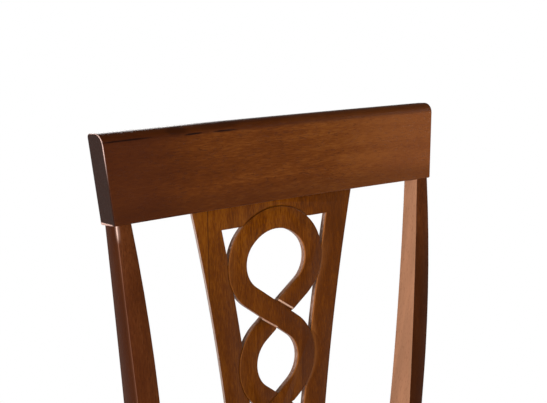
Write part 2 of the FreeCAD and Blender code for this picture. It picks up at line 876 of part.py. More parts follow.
def carved_outline(strap):
    """Cutters for the carved line round the strap, on the frame and over the crossings."""
    section = groove_section()
    ring = strap.lobes[0]
    low, high = ring["to"], math.pi - ring["to"]
    cutters = [arc_groove(section, ring["crown_centre"], ring["crown"] + strap.half, low, high)]
    for lobe in strap.lobes:
        radius = lobe["radius"] + strap.half
        low, high = lobe["from"], lobe["to"]
        cutters.append(arc_groove(section, lobe["centre"], radius, low, high))
        cutters.append(arc_groove(section, mirrored(lobe["centre"]), radius, math.pi - high, math.pi - low))
    return cutters + crossing_grooves(strap, section)


def shoulder_waste(top):
    """What is cut from the back of the splat's top so that only a tongue enters the crest rail."""
    lean = tangent(size("crest_rake") - size("splat_rake")).number
    low = -splat_crest_drop().number
    tongue = size("splat_tongue").number
    far = size("splat_thick").number + OVERRUN
    half = size("splat_top_half").number * 2
    corners = [
        FreeCAD.Vector(-half, low - tongue * lean, -tongue),
        FreeCAD.Vector(-half, low - far * lean, -far),
        FreeCAD.Vector(-half, top + OVERRUN, -far),
        FreeCAD.Vector(-half, top + OVERRUN, -tongue),
    ]
    return Part.Face(Part.makePolygon(corners + corners[:1])).extrude(FreeCAD.Vector(2 * half, 0, 0))


def back_splat():
    """The splat: a thin board pierced round an interlaced strap, which is outlined in relief."""
    strap = Strap()
    thick = size("splat_thick").number
    top = (size("splat_housing") - splat_crest_drop()).number
    foot = -splat_foot_drop().number
    board = splat_outline_face(top, foot, 0.0).extrude(FreeCAD.Vector(0, 0, -thick))

    def long_back_edge(edge):
        box = edge.BoundBox
        return box.ZMax < FLAT - thick and box.YLength > (top - foot) / 2

    back_edges = [edge for edge in board.Edges if long_back_edge(edge)]
    board = board.makeChamfer(size("splat_back_bevel").number, back_edges)
    board = board.cut(shoulder_waste(top))
    window_top, window_foot = -size("splat_window_top").number, -size("splat_window_foot").number
    window = splat_outline_face(window_top, window_foot, size("splat_side_frame").number)
    pierced = window.cut(strap_faces(strap, window_foot - strap.half))
    for face in pierced.Faces:
        opening = face.extrude(FreeCAD.Vector(0, 0, -thick - 2 * OVERRUN))
        opening.translate(FreeCAD.Vector(0, 0, OVERRUN))
        board = board.cut(opening)
    board = board.cut(carved_outline(strap))
    feature = doc.addObject("Part::Feature", "back_splat")
    feature.Label = "back_splat"
    feature.Shape = board.Solids[0]
    feature.Placement = chair_place(
        0.0, size("splat_top_y").number, size("crest_foot_z").number, 90.0 - size("splat_rake").number
    )
    return feature


def splat_foot_drop():
    """Drop, along the splat, to its end inside the shoe."""
    shoe_top = size("seat_rail_top") + size("shoe_height")
    return (size("crest_foot_z") - shoe_top + size("splat_housing")) / cosine(size("splat_rake"))


def front_leg(name, side):
    """A square front leg, tapered below the seat rails on its two inner faces."""
    body = new_body(name)
    out_x, full, foot = size("front_half"), size("front_leg"), size("front_foot")
    inner = out_x - full
    section = new_sketch(body, name + "_section", "XY_Plane", size("glide_height"))
    outline(
        section,
        [
            (out_x * side, front_y),
            (out_x * side, leg_back_y),
            (inner * side, leg_back_y),
            (inner * side, front_y),
        ],
    )
    pad(body, name + "_blank", section, size("seat_rail_top") - size("glide_height"))
    low_z = size("glide_height") - OVERRUN
    low = foot - leg_taper * OVERRUN
    inner_wedge = [
        (inner * side, rail_foot_z),
        ((out_x - low) * side, low_z),
        ((inner - OVERRUN) * side, low_z),
        ((inner - OVERRUN) * side, rail_foot_z),
    ]
    back_wedge = [
        (leg_back_y, rail_foot_z),
        (front_y + low, low_z),
        (leg_back_y + OVERRUN, low_z),
        (leg_back_y + OVERRUN, rail_foot_z),
    ]
    for label, role, wedge in (("inner", "XZ_Plane", inner_wedge), ("back", "YZ_Plane", back_wedge)):
        waste = new_sketch(body, "%s_%s_wedge" % (name, label), role)
        outline(waste, wedge)
        sawn = pocket(body, "%s_%s_taper" % (name, label), waste, size("seat_depth") * 2 + full, midplane=True)
    whole = (size("seat_rail_top") - size("glide_height")).number
    round_edges(body, name + "_arris", sawn, lambda e: e.BoundBox.ZLength > whole - FLAT, size("leg_arris"))
    half = size("tenon_thick") / 2 + play
    mortise(
        body,
        name + "_side_mortise",
        side_rail_run.plan(leg_back_y - size("tenon_long") - relief, leg_back_y + OVERRUN, half, side),
        tenon_z - play,
        size("tenon_height") + play * 2,
    )
    near = inner - OVERRUN
    outer = inner + size("tenon_long") + relief
    mortise(
        body,
        name + "_front_mortise",
        [
            (near * side, front_rail_mid_y - half),
            (outer * side, front_rail_mid_y - half),
            (outer * side, front_rail_mid_y + half),
            (near * side, front_rail_mid_y + half),
        ],
        tenon_z - play,
        size("tenon_height") + play * 2,
    )
    mortise(
        body,
        name + "_stretcher_housing",
        stretcher_run.plan(
            stretcher_front_y - relief, leg_back_y + OVERRUN, size("stretcher_thick") / 2 + play, side
        ),
        size("stretcher_z") - play,
        size("stretcher_height") + play * 2,
    )
    glide_hole(body, name + "_glide_hole", (front_foot_mid_x * side, front_foot_mid_y))
    body.Placement = chair_place()
    return body


def seat_rail(name, plan, tenon_plan, arris_edges, pilots):
    """A seat rail: its plan over the full height, a lower tenon through both ends, and pilot holes."""
    body = new_body(name)
    sketch = new_sketch(body, name + "_plan", "XY_Plane", rail_foot_z)
    outline(sketch, plan)
    board = pad(body, name + "_board", sketch, size("seat_rail_height"))
    round_edges(body, name + "_arris", board, arris_edges, size("rail_arris"))
    sketch = new_sketch(body, name + "_tenon_plan", "XY_Plane", tenon_z)
    outline(sketch, tenon_plan)
    pad(body, name + "_tenons", sketch, size("tenon_height"))
    for index, (role, offset, place, upward) in enumerate(pilots):
        depth = size("block_cheek") + size("screw_bite") + relief
        drill(body, "%s_pilot_%d" % (name, index + 1), role, offset, place, shank_hole, depth, upward)
    body.Placement = chair_place()
    return body


def straight_plan(half_x, mid_y, half_y):
    return [
        (-half_x, mid_y - half_y),
        (half_x, mid_y - half_y),
        (half_x, mid_y + half_y),
        (-half_x, mid_y + half_y),
    ]


def long_level(edge):
    """True for a long edge that runs level."""
    return edge.BoundBox.ZLength < FLAT and edge.Length > 2 * SHORT_ARRIS


def outer_of_cross_rail(outer_y):
    """Test for the long arrises of a rail's outer face, which lies across the chair."""
    return lambda edge: long_level(edge) and abs(edge.CenterOfMass.y - outer_y.number) < FLAT


def outer_of_side_rail(side):
    """Test for the long arrises of a side rail's outer face."""

    def test(edge):
        middle = side_rail_run.x_at(Size.of(edge.CenterOfMass.y)).number
        return long_level(edge) and edge.BoundBox.YLength > SHORT_ARRIS and edge.CenterOfMass.x * side > middle

    return test


front_inner_x = size("front_half") - size("front_leg")
front_rail_back_y = front_rail_mid_y + rail_half
screw_z = size("seat_rail_top") - size("block_height") / 2
block_foot_z = size("seat_rail_top") - size("block_height")
shank_hole = size("screw_shank") / 2 + play


class Corner:
    """One glued and screwed corner of the seat frame: its block and where its screws go."""

    def __init__(self, name, side, front):
        self.name = name
        self.side = side
        self.front = front
        self.inner_x = front_inner_x if front else post_seat_in
        self.rail_y = front_rail_back_y if front else size("rear_rail_setback")
        self.shoulder_y = leg_back_y if front else Size.of(0)
        self.way = 1 if front else -1
        self.end_y = self.shoulder_y + size("block_reach") * self.way

    def rail_x(self, y):
        return side_rail_run.x_at(y) - rail_half

    def plan(self):
        corners = [
            (self.inner_x - size("block_reach"), self.rail_y),
            (self.inner_x, self.rail_y),
            (self.inner_x, self.shoulder_y),
            (self.rail_x(self.shoulder_y), self.shoulder_y),
            (self.rail_x(self.end_y), self.end_y),
        ]
        return [(x * self.side, y) for x, y in corners]

    def cross_screw(self):
        """Seat of the screw into the front or rear rail, as (x, y)."""
        x = (self.inner_x - size("screw_inset")) * self.side
        return x, self.rail_y + size("block_cheek") * self.way

    def side_screw(self):
        """Seat of the screw into the side rail, as (x, y)."""
        y = self.shoulder_y + size("screw_inset") * self.way
        return (self.rail_x(y) - size("block_cheek")) * self.side, y

    def seat_screw(self):
        """Place of the screw up into the seat board, as (x, y)."""
        inset = size("seat_screw_inset")
        return (self.inner_x - inset) * self.side, self.shoulder_y + inset * self.way

    def cross_hole(self):
        """Plane, offset, place and way of the hole for the front or rear rail's screw."""
        x, y = self.cross_screw()
        return "XZ_Plane", -y, (x, screw_z), self.front

    def side_hole(self):
        """Plane, offset, place and way of the hole for the side rail's screw."""
        x, y = self.side_screw()
        return "YZ_Plane", x, (y, screw_z), self.side > 0

    def block(self):
        """The block itself, with two bored and counterbored holes and one upright hole."""
        body = new_body(self.name)
        sketch = new_sketch(body, self.name + "_plan", "XY_Plane", block_foot_z)
        outline(sketch, self.plan())
        pad(body, self.name + "_wedge", sketch, size("block_height"))
        cheek = size("block_cheek") + relief
        for label, hole in (("cross", self.cross_hole()), ("side", self.side_hole())):
            role, offset, place, upward = hole
            name = "%s_%s" % (self.name, label)
            drill(body, name + "_hole", role, offset, place, shank_hole, cheek, upward)
            drill(
                body,
                name + "_bore",
                role,
                offset,
                place,
                size("screw_bore") / 2,
                size("block_reach"),
                not upward,
            )
        upright = size("block_height") + relief
        drill(body, self.name + "_seat_hole", "XY_Plane", block_foot_z, self.seat_screw(), shank_hole, upright)
        body.Placement = chair_place()
        return body

    def rail_screws(self):
        """The block's two screws into the rails, as (seat, direction)."""
        x, y = self.cross_screw()
        u, v = self.side_screw()
        return [
            ((x, y, screw_z), FreeCAD.Vector(0, -self.way, 0)),
            ((u, v, screw_z), FreeCAD.Vector(self.side, 0, 0)),
        ]

    def up_screw(self):
        """The screw up into the seat board, as (seat, direction)."""
        x, y = self.seat_screw()
        return (x, y, block_foot_z), FreeCAD.Vector(0, 0, 1)


def seat_frame(corners):
    """Four seat rails tenoned into the legs and posts, drilled for the corner blocks' screws."""
    tenon_half = size("tenon_thick") / 2
    rear_half = size("rear_rail_thick") / 2
    rails = [
        seat_rail(
            "front_seat_rail",
            straight_plan(front_inner_x, front_rail_mid_y, rail_half),
            straight_plan(front_inner_x + size("tenon_long"), front_rail_mid_y, tenon_half),
            outer_of_cross_rail(front_rail_mid_y - rail_half),
            [corner.cross_hole() for corner in corners if corner.front],
        ),
        seat_rail(
            "rear_seat_rail",
            straight_plan(post_seat_in, rear_rail_mid_y, rear_half),
            straight_plan(post_seat_in + size("rear_tenon_long"), rear_rail_mid_y, tenon_half),
            outer_of_cross_rail(rear_rail_mid_y + rear_half),
            [corner.cross_hole() for corner in corners if not corner.front],
        ),
    ]
    for side, label in ((-1, "left"), (1, "right")):
        rails.append(
            seat_rail(
                label + "_seat_rail",
                side_rail_run.plan(leg_back_y, Size.of(0), rail_half, side),
                side_rail_run.plan(leg_back_y - size("tenon_long"), size("tenon_long"), tenon_half, side),
                outer_of_side_rail(side),
                [corner.side_hole() for corner in corners if corner.side == side],
            )
        )
    return rails


def headed_pin(name, place, heading, shank, long, head, head_thick, crown):
    """A pin with a head behind its seat: shank along heading, head the other way."""
    rotation = FreeCAD.Rotation(FreeCAD.Vector(0, 0, 1), heading)
    base = FreeCAD.Vector(place[0].number, place[1].number + CENTRE_SHIFT, place[2].number)
    stem = doc.addObject("Part::Cylinder", name + "_shank")
    stem.setExpression("Radius", (shank / 2).text)
    stem.setExpression("Height", long.text)
    top = doc.addObject("Part::Cone", name + "_head")
    top.setExpression("Radius1", (head / 2 - crown).text)
    top.setExpression("Radius2", (head / 2).text)
    top.setExpression("Height", head_thick.text)
    top.Placement = FreeCAD.Placement(FreeCAD.Vector(0, 0, -head_thick.number), FreeCAD.Rotation())
    whole = doc.addObject("Part::MultiFuse", name)
    whole.Shapes = [stem, top]
    whole.Refine = True
    whole.Placement = FreeCAD.Placement(base, rotation)
    return whole


def group(name, items):
    together = doc.addObject("Part::Compound", name)
    together.Label = name
    together.Links = items
    return together


def seat_corners():
    return [
        Corner("front_left_corner_block", -1, True),
        Corner("front_right_corner_block", 1, True),
        Corner("rear_left_corner_block", -1, False),
        Corner("rear_right_corner_block", 1, False),
    ]


def screw(name, seat, bite):
    """A screw from its seat and heading, going bite deep past the seat."""
    place, heading = seat
    return headed_pin(
        name,
        place,
        heading,
        size("screw_shank"),
        bite,
        size("screw_head"),
        size("screw_head_thick"),
        size("screw_crown"),
    )


def frame_screws(corners):
    """The screws that hold the corner blocks to the rails, and the seat board to the blocks."""
    rail_screws = []
    seat_screws = []
    rail_long = size("block_cheek") + size("screw_bite")
    seat_long = size("block_height") + size("cloth_thick") + size("seat_screw_bite")
    for corner in corners:
        for index, seat in enumerate(corner.rail_screws()):
            rail_screws.append(screw("%s_screw_%d" % (corner.name, index + 1), seat, rail_long))
        seat_screws.append(screw(corner.name + "_seat_screw", corner.up_screw(), seat_long))
    return [group("corner_block_screws", rail_screws), group("seat_screws", seat_screws)]


def glides():
    """Four nail-on glides under the feet."""
    items = []
    for label, side, x, y in (
        ("front_left", -1, front_foot_mid_x, front_foot_mid_y),
        ("front_right", 1, front_foot_mid_x, front_foot_mid_y),
        ("rear_left", -1, foot_mid_x, foot_mid_y),
        ("rear_right", 1, foot_mid_x, foot_mid_y),
    ):
        items.append(
            headed_pin(
                label + "_glide",
                (x * side, y, size("glide_height")),
                FreeCAD.Vector(0, 0, 1),
                size("glide_pin"),
                size("glide_pin_long"),
                size("glide_wide"),
                size("glide_height"),
                size("glide_crown"),
            )
        )
    return group("leg_glides", items)


# The side of the seat pad, seen in plan
pad_side = Run(
    size("front_half") + size("pad_overhang"),
    pad_front_y,
    post_seat_out + size("pad_overhang"),
    Size.of(0),
)
seat_mid_y = (pad_front_y + size("shoe_setback")) / 2


def seat_plan(inset):
    """Plan of the seat, drawn in by inset, round the front corners and between the posts."""
    corner = size("pad_corner")
    front = pad_front_y + inset
    shoulder = -size("pad_gap") - inset
    notch = post_seat_in - size("pad_notch_gap") - inset
    back = size("shoe_setback") - size("pad_gap") - inset
    flank_y = front + corner
    right = [
        (pad_side.x_at(front) - inset - corner, front, corner),
        (pad_side.x_at(flank_y) - inset, flank_y),
        (pad_side.x_at(shoulder) - inset, shoulder),
        (notch, shoulder),
        (notch, back),
    ]
    left = [(-notch, back), (-notch, shoulder), (-(pad_side.x_at(shoulder) - inset), shoulder)]
    left.append((-(pad_side.x_at(flank_y) - inset), flank_y, corner))
    left.append((-(pad_side.x_at(front) - inset - corner), front))
    return [(c[0], c[1] - seat_mid_y) + tuple(c[2:]) for c in right + left]


def seat_sheet(name, low, thick, holes_deep, corners):
    """A flat sheet of the seat's plan, with holes for the seat screws."""
    body = new_body(name)
    sketch = new_sketch(body, name + "_plan", "XY_Plane", low)
    outline(sketch, seat_plan(size("board_inset")))
    pad(body, name + "_sheet", sketch, thick)
    for corner in corners:
        x, y = corner.seat_screw()
        place = (x, y - seat_mid_y)
        drill(body, "%s_%s" % (name, corner.name), "XY_Plane", low, place, shank_hole, holes_deep)
    body.Placement = chair_place(0.0, seat_mid_y.number, 0.0)
    return body


def seat_pad():
    """The upholstered pad: drawn-in foot, soft shoulders, a crowned top and a recess for the board."""
    body = new_body("seat_pad")
    low = size("seat_rail_top") + size("soft_play")
    top = size("seat_rail_top") + size("pad_height")
    shoulder, crown = size("pad_shoulder"), size("pad_crown")
    side_top = top - crown - shoulder
    reach = size("pad_crown_reach")
    levels = [(low, size("pad_foot_round")), (low + size("pad_foot_round"), Size.of(0))]
    levels += [(side_top + shoulder * rise, shoulder * inset) for rise, inset in SHOULDER_STEPS]
    levels += [(top - crown * (1 - rise), shoulder + reach * inset) for rise, inset in CROWN_STEPS]
    sections = []
    for index, (height, inset) in enumerate(levels):
        section = new_sketch(body, "seat_pad_section_%d" % (index + 1), "XY_Plane", height)
        outline(section, seat_plan(inset))
        sections.append(section)
    doc.recompute()
    loft = body.newObject("PartDesign::AdditiveLoft", "seat_pad_loft")
    loft.Profile = sections[0]
    loft.Sections = sections[1:]
    loft.Ruled = True
    recess = size("board_inset") - size("soft_play")
    sketch = new_sketch(body, "seat_pad_recess_plan", "XY_Plane", low)
    outline(sketch, seat_plan(recess))
    pocket(body, "seat_pad_recess", sketch, size("cloth_thick") + size("board_thick"))
    body.Placement = chair_place(0.0, seat_mid_y.number, 0.0)
    return body


def stretchers():
    """Two side stretchers housed in the legs, and a middle one housed in them."""
    pieces = []
    half = size("stretcher_thick") / 2
    mid_y = size("middle_y")
    inner = stretcher_run.x_at(mid_y) - half
    for side, label in ((-1, "left"), (1, "right")):
        name = label + "_side_stretcher"
        body = new_body(name)
        sketch = new_sketch(body, name + "_plan", "XY_Plane", size("stretcher_z"))
        outline(sketch, stretcher_run.plan(stretcher_front_y, stretcher_rear_y, half, side))
        bar = pad(body, name + "_bar", sketch, size("stretcher_height"))
        round_edges(body, name + "_arris", bar, long_level, size("rail_arris"))
        near = inner - OVERRUN
        reach = inner + size("middle_housing") + relief
        mortise(
            body,
            name + "_housing",
            [
                (near * side, mid_y - half - play),
                (reach * side, mid_y - half - play),
                (reach * side, mid_y + half + play),
                (near * side, mid_y + half + play),
            ],
            stretcher_mid_z - size("middle_height") / 2 - play,
            size("middle_height") + play * 2,
        )
        body.Placement = chair_place()
        pieces.append(body)
    body = new_body("middle_stretcher")
    sketch = new_sketch(body, "middle_stretcher_plan", "XY_Plane", stretcher_mid_z - size("middle_height") / 2)
    outline(sketch, straight_plan(inner + size("middle_housing"), mid_y, half))
    pad(body, "middle_stretcher_bar", sketch, size("middle_height"))
    body.Placement = chair_place()
    pieces.append(body)
    return pieces


def splat_shoe():
    """The shoe on the rear rail that the splat stands in."""
    body = new_body("splat_shoe")
    mid_y = size("shoe_setback") + size("shoe_depth") / 2
    sketch = new_sketch(body, "shoe_plan", "XY_Plane", size("seat_rail_top"))
    outline(sketch, straight_plan(size("shoe_half"), mid_y, size("shoe_depth") / 2))
    block = pad(body, "shoe_block", sketch, size("shoe_height"))
    top = (size("seat_rail_top") + size("shoe_height")).number

    def top_edge(edge):
        box = edge.BoundBox
        return abs(box.ZMin - top) < FLAT and abs(box.ZMax - top) < FLAT

    round_edges(body, "shoe_moulding", block, top_edge, size("shoe_bevel"), "PartDesign::Chamfer")
    lean = size("splat_rake")
    corners = []
    high = -(splat_foot_drop() - size("splat_housing") * 2)
    low = -splat_foot_drop() - relief
    for depth, height in (
        (-play, low),
        (size("splat_thick") + play, low),
        (size("splat_thick") + play, high),
        (-play, high),
    ):
        corners.append(
            (
                size("splat_top_y") + depth * cosine(lean) + height * sine(lean),
                size("crest_foot_z") + height * cosine(lean) - depth * sine(lean),
            )
        )
    groove = new_sketch(body, "shoe_groove_view", "YZ_Plane")
    outline(groove, corners)
    half = splat_half_at(splat_foot_drop() - size("splat_housing"))
    pocket(body, "shoe_groove", groove, (half + play) * 2, midplane=True)
    body.Placement = chair_place()
    return body


def check_and_export(pieces):
    doc.recompute()
    for item in doc.Objects:
        bad = [state for state in item.State if state in ("Invalid", "Error")]
        if bad:
            raise RuntimeError("%s is %s" % (item.Name, bad))
    os.makedirs("parts", exist_ok=True)
    for piece in pieces:
        shape = piece.Shape
        if shape.isNull() or not shape.isValid():
            raise RuntimeError("%s has no valid shape" % piece.Label)
        shape.exportStep("parts/%s.step" % piece.Label)
        print("%-24s solids %d  volume %9.0f" % (piece.Label, len(shape.Solids), shape.Volume))


corners = seat_corners()
first_post = left_post()
pieces = [crest_rail(), back_splat(), first_post, right_post(first_post)]
pieces += [front_leg("left_front_leg", -1), front_leg("right_front_leg", 1)]
pieces += seat_frame(corners)
pieces += stretchers()
pieces.append(splat_shoe())
pieces += [corner.block() for corner in corners]
pieces += frame_screws(corners)
cloth_z = size("seat_rail_top")
board_z = cloth_z + size("cloth_thick")
screw_end = size("seat_screw_bite") + relief
pieces.append(seat_sheet("seat_board", board_z, size("board_thick"), screw_end, corners))
pieces.append(seat_sheet("dust_cover", cloth_z, size("cloth_thick"), size("cloth_thick"), corners))
pieces.append(seat_pad())
pieces.append(glides())
check_and_export(pieces)
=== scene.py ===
"""Dresses the wooden dining chair: stained wood, a carved splat, an upholstered seat and a studio."""
import logging
import math
from dataclasses import dataclass
from enum import Enum

import bmesh
import bpy
from mathutils import Matrix, Vector


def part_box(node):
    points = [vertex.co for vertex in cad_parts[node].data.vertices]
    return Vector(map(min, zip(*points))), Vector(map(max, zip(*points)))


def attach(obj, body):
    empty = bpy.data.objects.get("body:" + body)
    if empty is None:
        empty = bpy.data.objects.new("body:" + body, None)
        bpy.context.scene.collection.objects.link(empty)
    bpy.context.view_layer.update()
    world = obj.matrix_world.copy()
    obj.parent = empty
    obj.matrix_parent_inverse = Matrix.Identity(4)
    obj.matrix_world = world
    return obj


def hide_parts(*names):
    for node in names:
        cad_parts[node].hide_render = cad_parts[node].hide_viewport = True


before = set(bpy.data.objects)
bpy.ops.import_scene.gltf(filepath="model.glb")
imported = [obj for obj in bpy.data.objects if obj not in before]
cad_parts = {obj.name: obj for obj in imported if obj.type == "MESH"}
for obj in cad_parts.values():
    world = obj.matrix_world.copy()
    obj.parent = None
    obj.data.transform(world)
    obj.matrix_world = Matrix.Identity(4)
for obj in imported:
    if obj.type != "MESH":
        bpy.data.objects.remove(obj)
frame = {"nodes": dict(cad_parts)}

log = logging.getLogger("chair")

Colour = tuple[float, float, float]
Point = tuple[float, float, float]
Span = tuple[float, float]
Node = bpy.types.Node
Socket = bpy.types.NodeSocket
Object = bpy.types.Object
Material = bpy.types.Material

WOOD_FIGURE = "hardwood_figure"
PLAIN_WEAVE = "plain_weave"
MM = 0.001
WELD = 0.001 * MM


class Grain(Enum):
    """The way the fibres of a piece of wood run: its axis, and the turn that lays the figure along it."""

    ACROSS = (0, (0.0, 0.0, 0.0))
    DEEP = (1, (0.0, 0.0, -math.pi / 2))
    UPRIGHT = (2, (0.0, math.pi / 2, 0.0))

    def __init__(self, axis: int, turn: Point) -> None:
        """Keeps the axis and the turn."""
        self.axis = axis
        self.turn = turn


class Side(Enum):
    """The two sides of the chair."""

    LEFT = -1
    RIGHT = 1


def linear(red: float, green: float, blue: float) -> tuple[float, float, float, float]:
    """Turns a display colour into a scene colour.

    Args:
        red: red part, 0 to 255.
        green: green part, 0 to 255.
        blue: blue part, 0 to 255.

    Returns:
        The colour with full opacity.
    """
    def curve(part: float) -> float:
        """Undoes the display curve for one part."""
        value = part / 255
        return value / 12.92 if value <= 0.04045 else ((value + 0.055) / 1.055) ** 2.4

    return curve(red), curve(green), curve(blue), 1.0


class Tree:
    """A short way to add and join nodes in one node tree."""

    def __init__(self, tree: bpy.types.NodeTree) -> None:
        """Keeps the tree."""
        self.tree = tree

    def add(self, kind: str, **settings: object) -> Node:
        """Adds a node.

        Args:
            kind: the node's type name.
            **settings: attributes set on the node.

        Returns:
            The new node.
        """
        node = self.tree.nodes.new(kind)
        for key, value in settings.items():
            setattr(node, key, value)
        return node

    def feed(self, value: object, socket: Socket) -> None:
        """Joins a socket to another, or sets it when the value is plain."""
        if isinstance(value, Socket):
            self.tree.links.new(value, socket)
        else:
            socket.default_value = value

    def fill(self, node: Node, feeds: dict[str | int, object]) -> Node:
        """Feeds a node's inputs, by name or by place."""
        for key, value in feeds.items():
            self.feed(value, node.inputs[key])
        return node

    def put(self, kind: str, feeds: dict[str | int, object], **settings: object) -> Node:
        """Adds a node and feeds its inputs."""
        return self.fill(self.add(kind, **settings), feeds)

    def math(self, operation: str, first: object, second: object = 0.0) -> Socket:
        """Adds a Math node and returns its result."""
        return self.put("ShaderNodeMath", {0: first, 1: second}, operation=operation).outputs[0]

    def times(self, *values: object) -> object:
        """Multiplies values together and returns the product."""
        product = values[0]
        for value in values[1:]:
            product = self.math("MULTIPLY", product, value)
        return product

    def plus(self, *values: object) -> object:
        """Adds values together and returns the sum."""
        total = values[0]
        for value in values[1:]:
            total = self.math("ADD", total, value)
        return total

    def away(self, value: object, level: float) -> Socket:
        """Gives how far a value is from a level."""
        return self.math("ABSOLUTE", self.math("SUBTRACT", value, level))

    def step(self, value: object, start: float, end: float, low: float = 0.0, high: float = 1.0) -> Socket:
        """Maps a value smoothly from one span to another."""
        feeds = {"Value": value, "From Min": start, "From Max": end, "To Min": low, "To Max": high}
        return self.put("ShaderNodeMapRange", feeds, interpolation_type="SMOOTHSTEP").outputs["Result"]

    def blend(self, factor: object, first: object, second: object) -> Socket:
        """Mixes two colours and returns the result."""
        return self.put("ShaderNodeMix", {0: factor, 6: first, 7: second}, data_type="RGBA").outputs[2]

    def tint(self, colour: object, paint: Colour, *masks: object) -> Socket:
        """Lays a paint over a colour by the product of its masks."""
        return self.blend(self.times(*masks), colour, linear(*paint))

    def noise(self, vector: object, scale: float, detail: float = 3.0, roughness: float = 0.5) -> Socket:
        """Adds a noise pattern and returns its value."""
        feeds = {"Vector": vector, "Scale": scale, "Detail": detail, "Roughness": roughness}
        return self.put("ShaderNodeTexNoise", feeds, normalize=True).outputs["Fac"]

    def stretch(self, vector: object, factors: Point) -> Socket:
        """Stretches a vector by three factors."""
        return self.put("ShaderNodeVectorMath", {0: vector, 1: factors}, operation="MULTIPLY").outputs[0]

    def parts(self, vector: object) -> list[Socket]:
        """Gives the three parts of a vector."""
        return list(self.put("ShaderNodeSeparateXYZ", {0: vector}).outputs)

    def group(self, name: str, place: object) -> Node:
        """Adds a shared group and feeds it a position."""
        return self.put("ShaderNodeGroup", {"Position": place}, node_tree=bpy.data.node_groups[name])

    def bump(self, height: object, strength: float, distance: float) -> Socket:
        """Gives a surface's normal when it is raised by a height."""
        feeds = {"Strength": strength, "Distance": distance, "Height": height}
        return self.put("ShaderNodeBump", feeds).outputs[0]


def new_group(name: str, masks: tuple[str, ...]) -> tuple[Tree, Socket, Node]:
    """Starts a shader group that turns a position into masks.

    Args:
        name: the group's name.
        masks: the names of what it puts out.

    Returns:
        The group's tree, the position, and the node that takes the masks.
    """
    group = bpy.data.node_groups.new(name, "ShaderNodeTree")
    group.interface.new_socket("Position", in_out="INPUT", socket_type="NodeSocketVector")
    for mask in masks:
        group.interface.new_socket(mask, in_out="OUTPUT", socket_type="NodeSocketFloat")
    tree = Tree(group)
    return tree, tree.add("NodeGroupInput").outputs["Position"], tree.add("NodeGroupOutput")


def wood_figure_group() -> None:
    """Makes the figure of plain-sawn hardwood, its fibres along X, as masks and a height."""
    tree, place, given = new_group(WOOD_FIGURE, ("Fibres", "Rings", "Clouds", "Pores", "Height"))
    wander = tree.noise(tree.stretch(place, (3.0, 16.0, 16.0)), 1.0, 2.0)
    sway = {0: wander, 1: (0.0, 0.012, 0.012), 2: place}
    bent = tree.put("ShaderNodeVectorMath", sway, operation="MULTIPLY_ADD").outputs[0]
    fibres = tree.noise(tree.stretch(bent, (90.0, 720.0, 720.0)), 1.0, 3.0, 0.6)
    rings = tree.noise(tree.stretch(bent, (6.0, 95.0, 95.0)), 1.0, 3.0, 0.6)
    clouds = tree.noise(tree.stretch(place, (11.0, 24.0, 24.0)), 1.0, 3.0, 0.55)
    flecks = tree.noise(tree.stretch(bent, (170.0, 1000.0, 1000.0)), 1.0, 1.0, 0.4)
    pores = tree.step(flecks, 0.60, 0.72)
    height = tree.math("SUBTRACT", tree.times(fibres, 0.35), tree.times(pores, 0.6))
    tree.fill(given, {"Fibres": fibres, "Rings": rings, "Clouds": clouds, "Pores": pores, "Height": height})


@dataclass(frozen=True)
class Shade:
    """A tone, painted light or painted shade laid on where a measure of the surface passes from one value
    to another.
    """

    paint: Colour
    share: float
    start: float
    end: float


class Surface:
    """What a finish reads of a piece of wood: its place, the way it faces and its figure."""

    def __init__(self, tree: Tree, place: Socket, facing: list[Socket], figure: Node) -> None:
        """Keeps the sockets under short names.

        Args:
            tree: the material's tree.
            place: the position on the piece.
            facing: the three parts of the way the surface faces.
            figure: the node of the wood's figure.
        """
        self.tree = tree
        self.place = place
        self.x, self.y, self.z = tree.parts(place)
        self.to_right, self.to_back, self.to_top = facing
        self.figure = figure.outputs

    def shade(self, colour: object, shade: Shade, measure: object, *masks: object) -> Socket:
        """Lays a shade over a colour, within masks if there are any."""
        amount = self.tree.step(measure, shade.start, shade.end)
        return self.tree.tint(colour, shade.paint, amount, shade.share, *masks)


class Touches:
    """Marks, painted light and painted shade that one piece of wood has beside its figure. The plain one
    has none.
    """

    def boards(self, tree: Tree, place: Socket) -> tuple[Socket, object]:
        """Gives the position in the board and its tone."""
        return place, 0.0

    def paint(self, on: Surface, colour: Socket) -> Socket:
        """Gives the colour with this piece's marks on it."""
        return colour


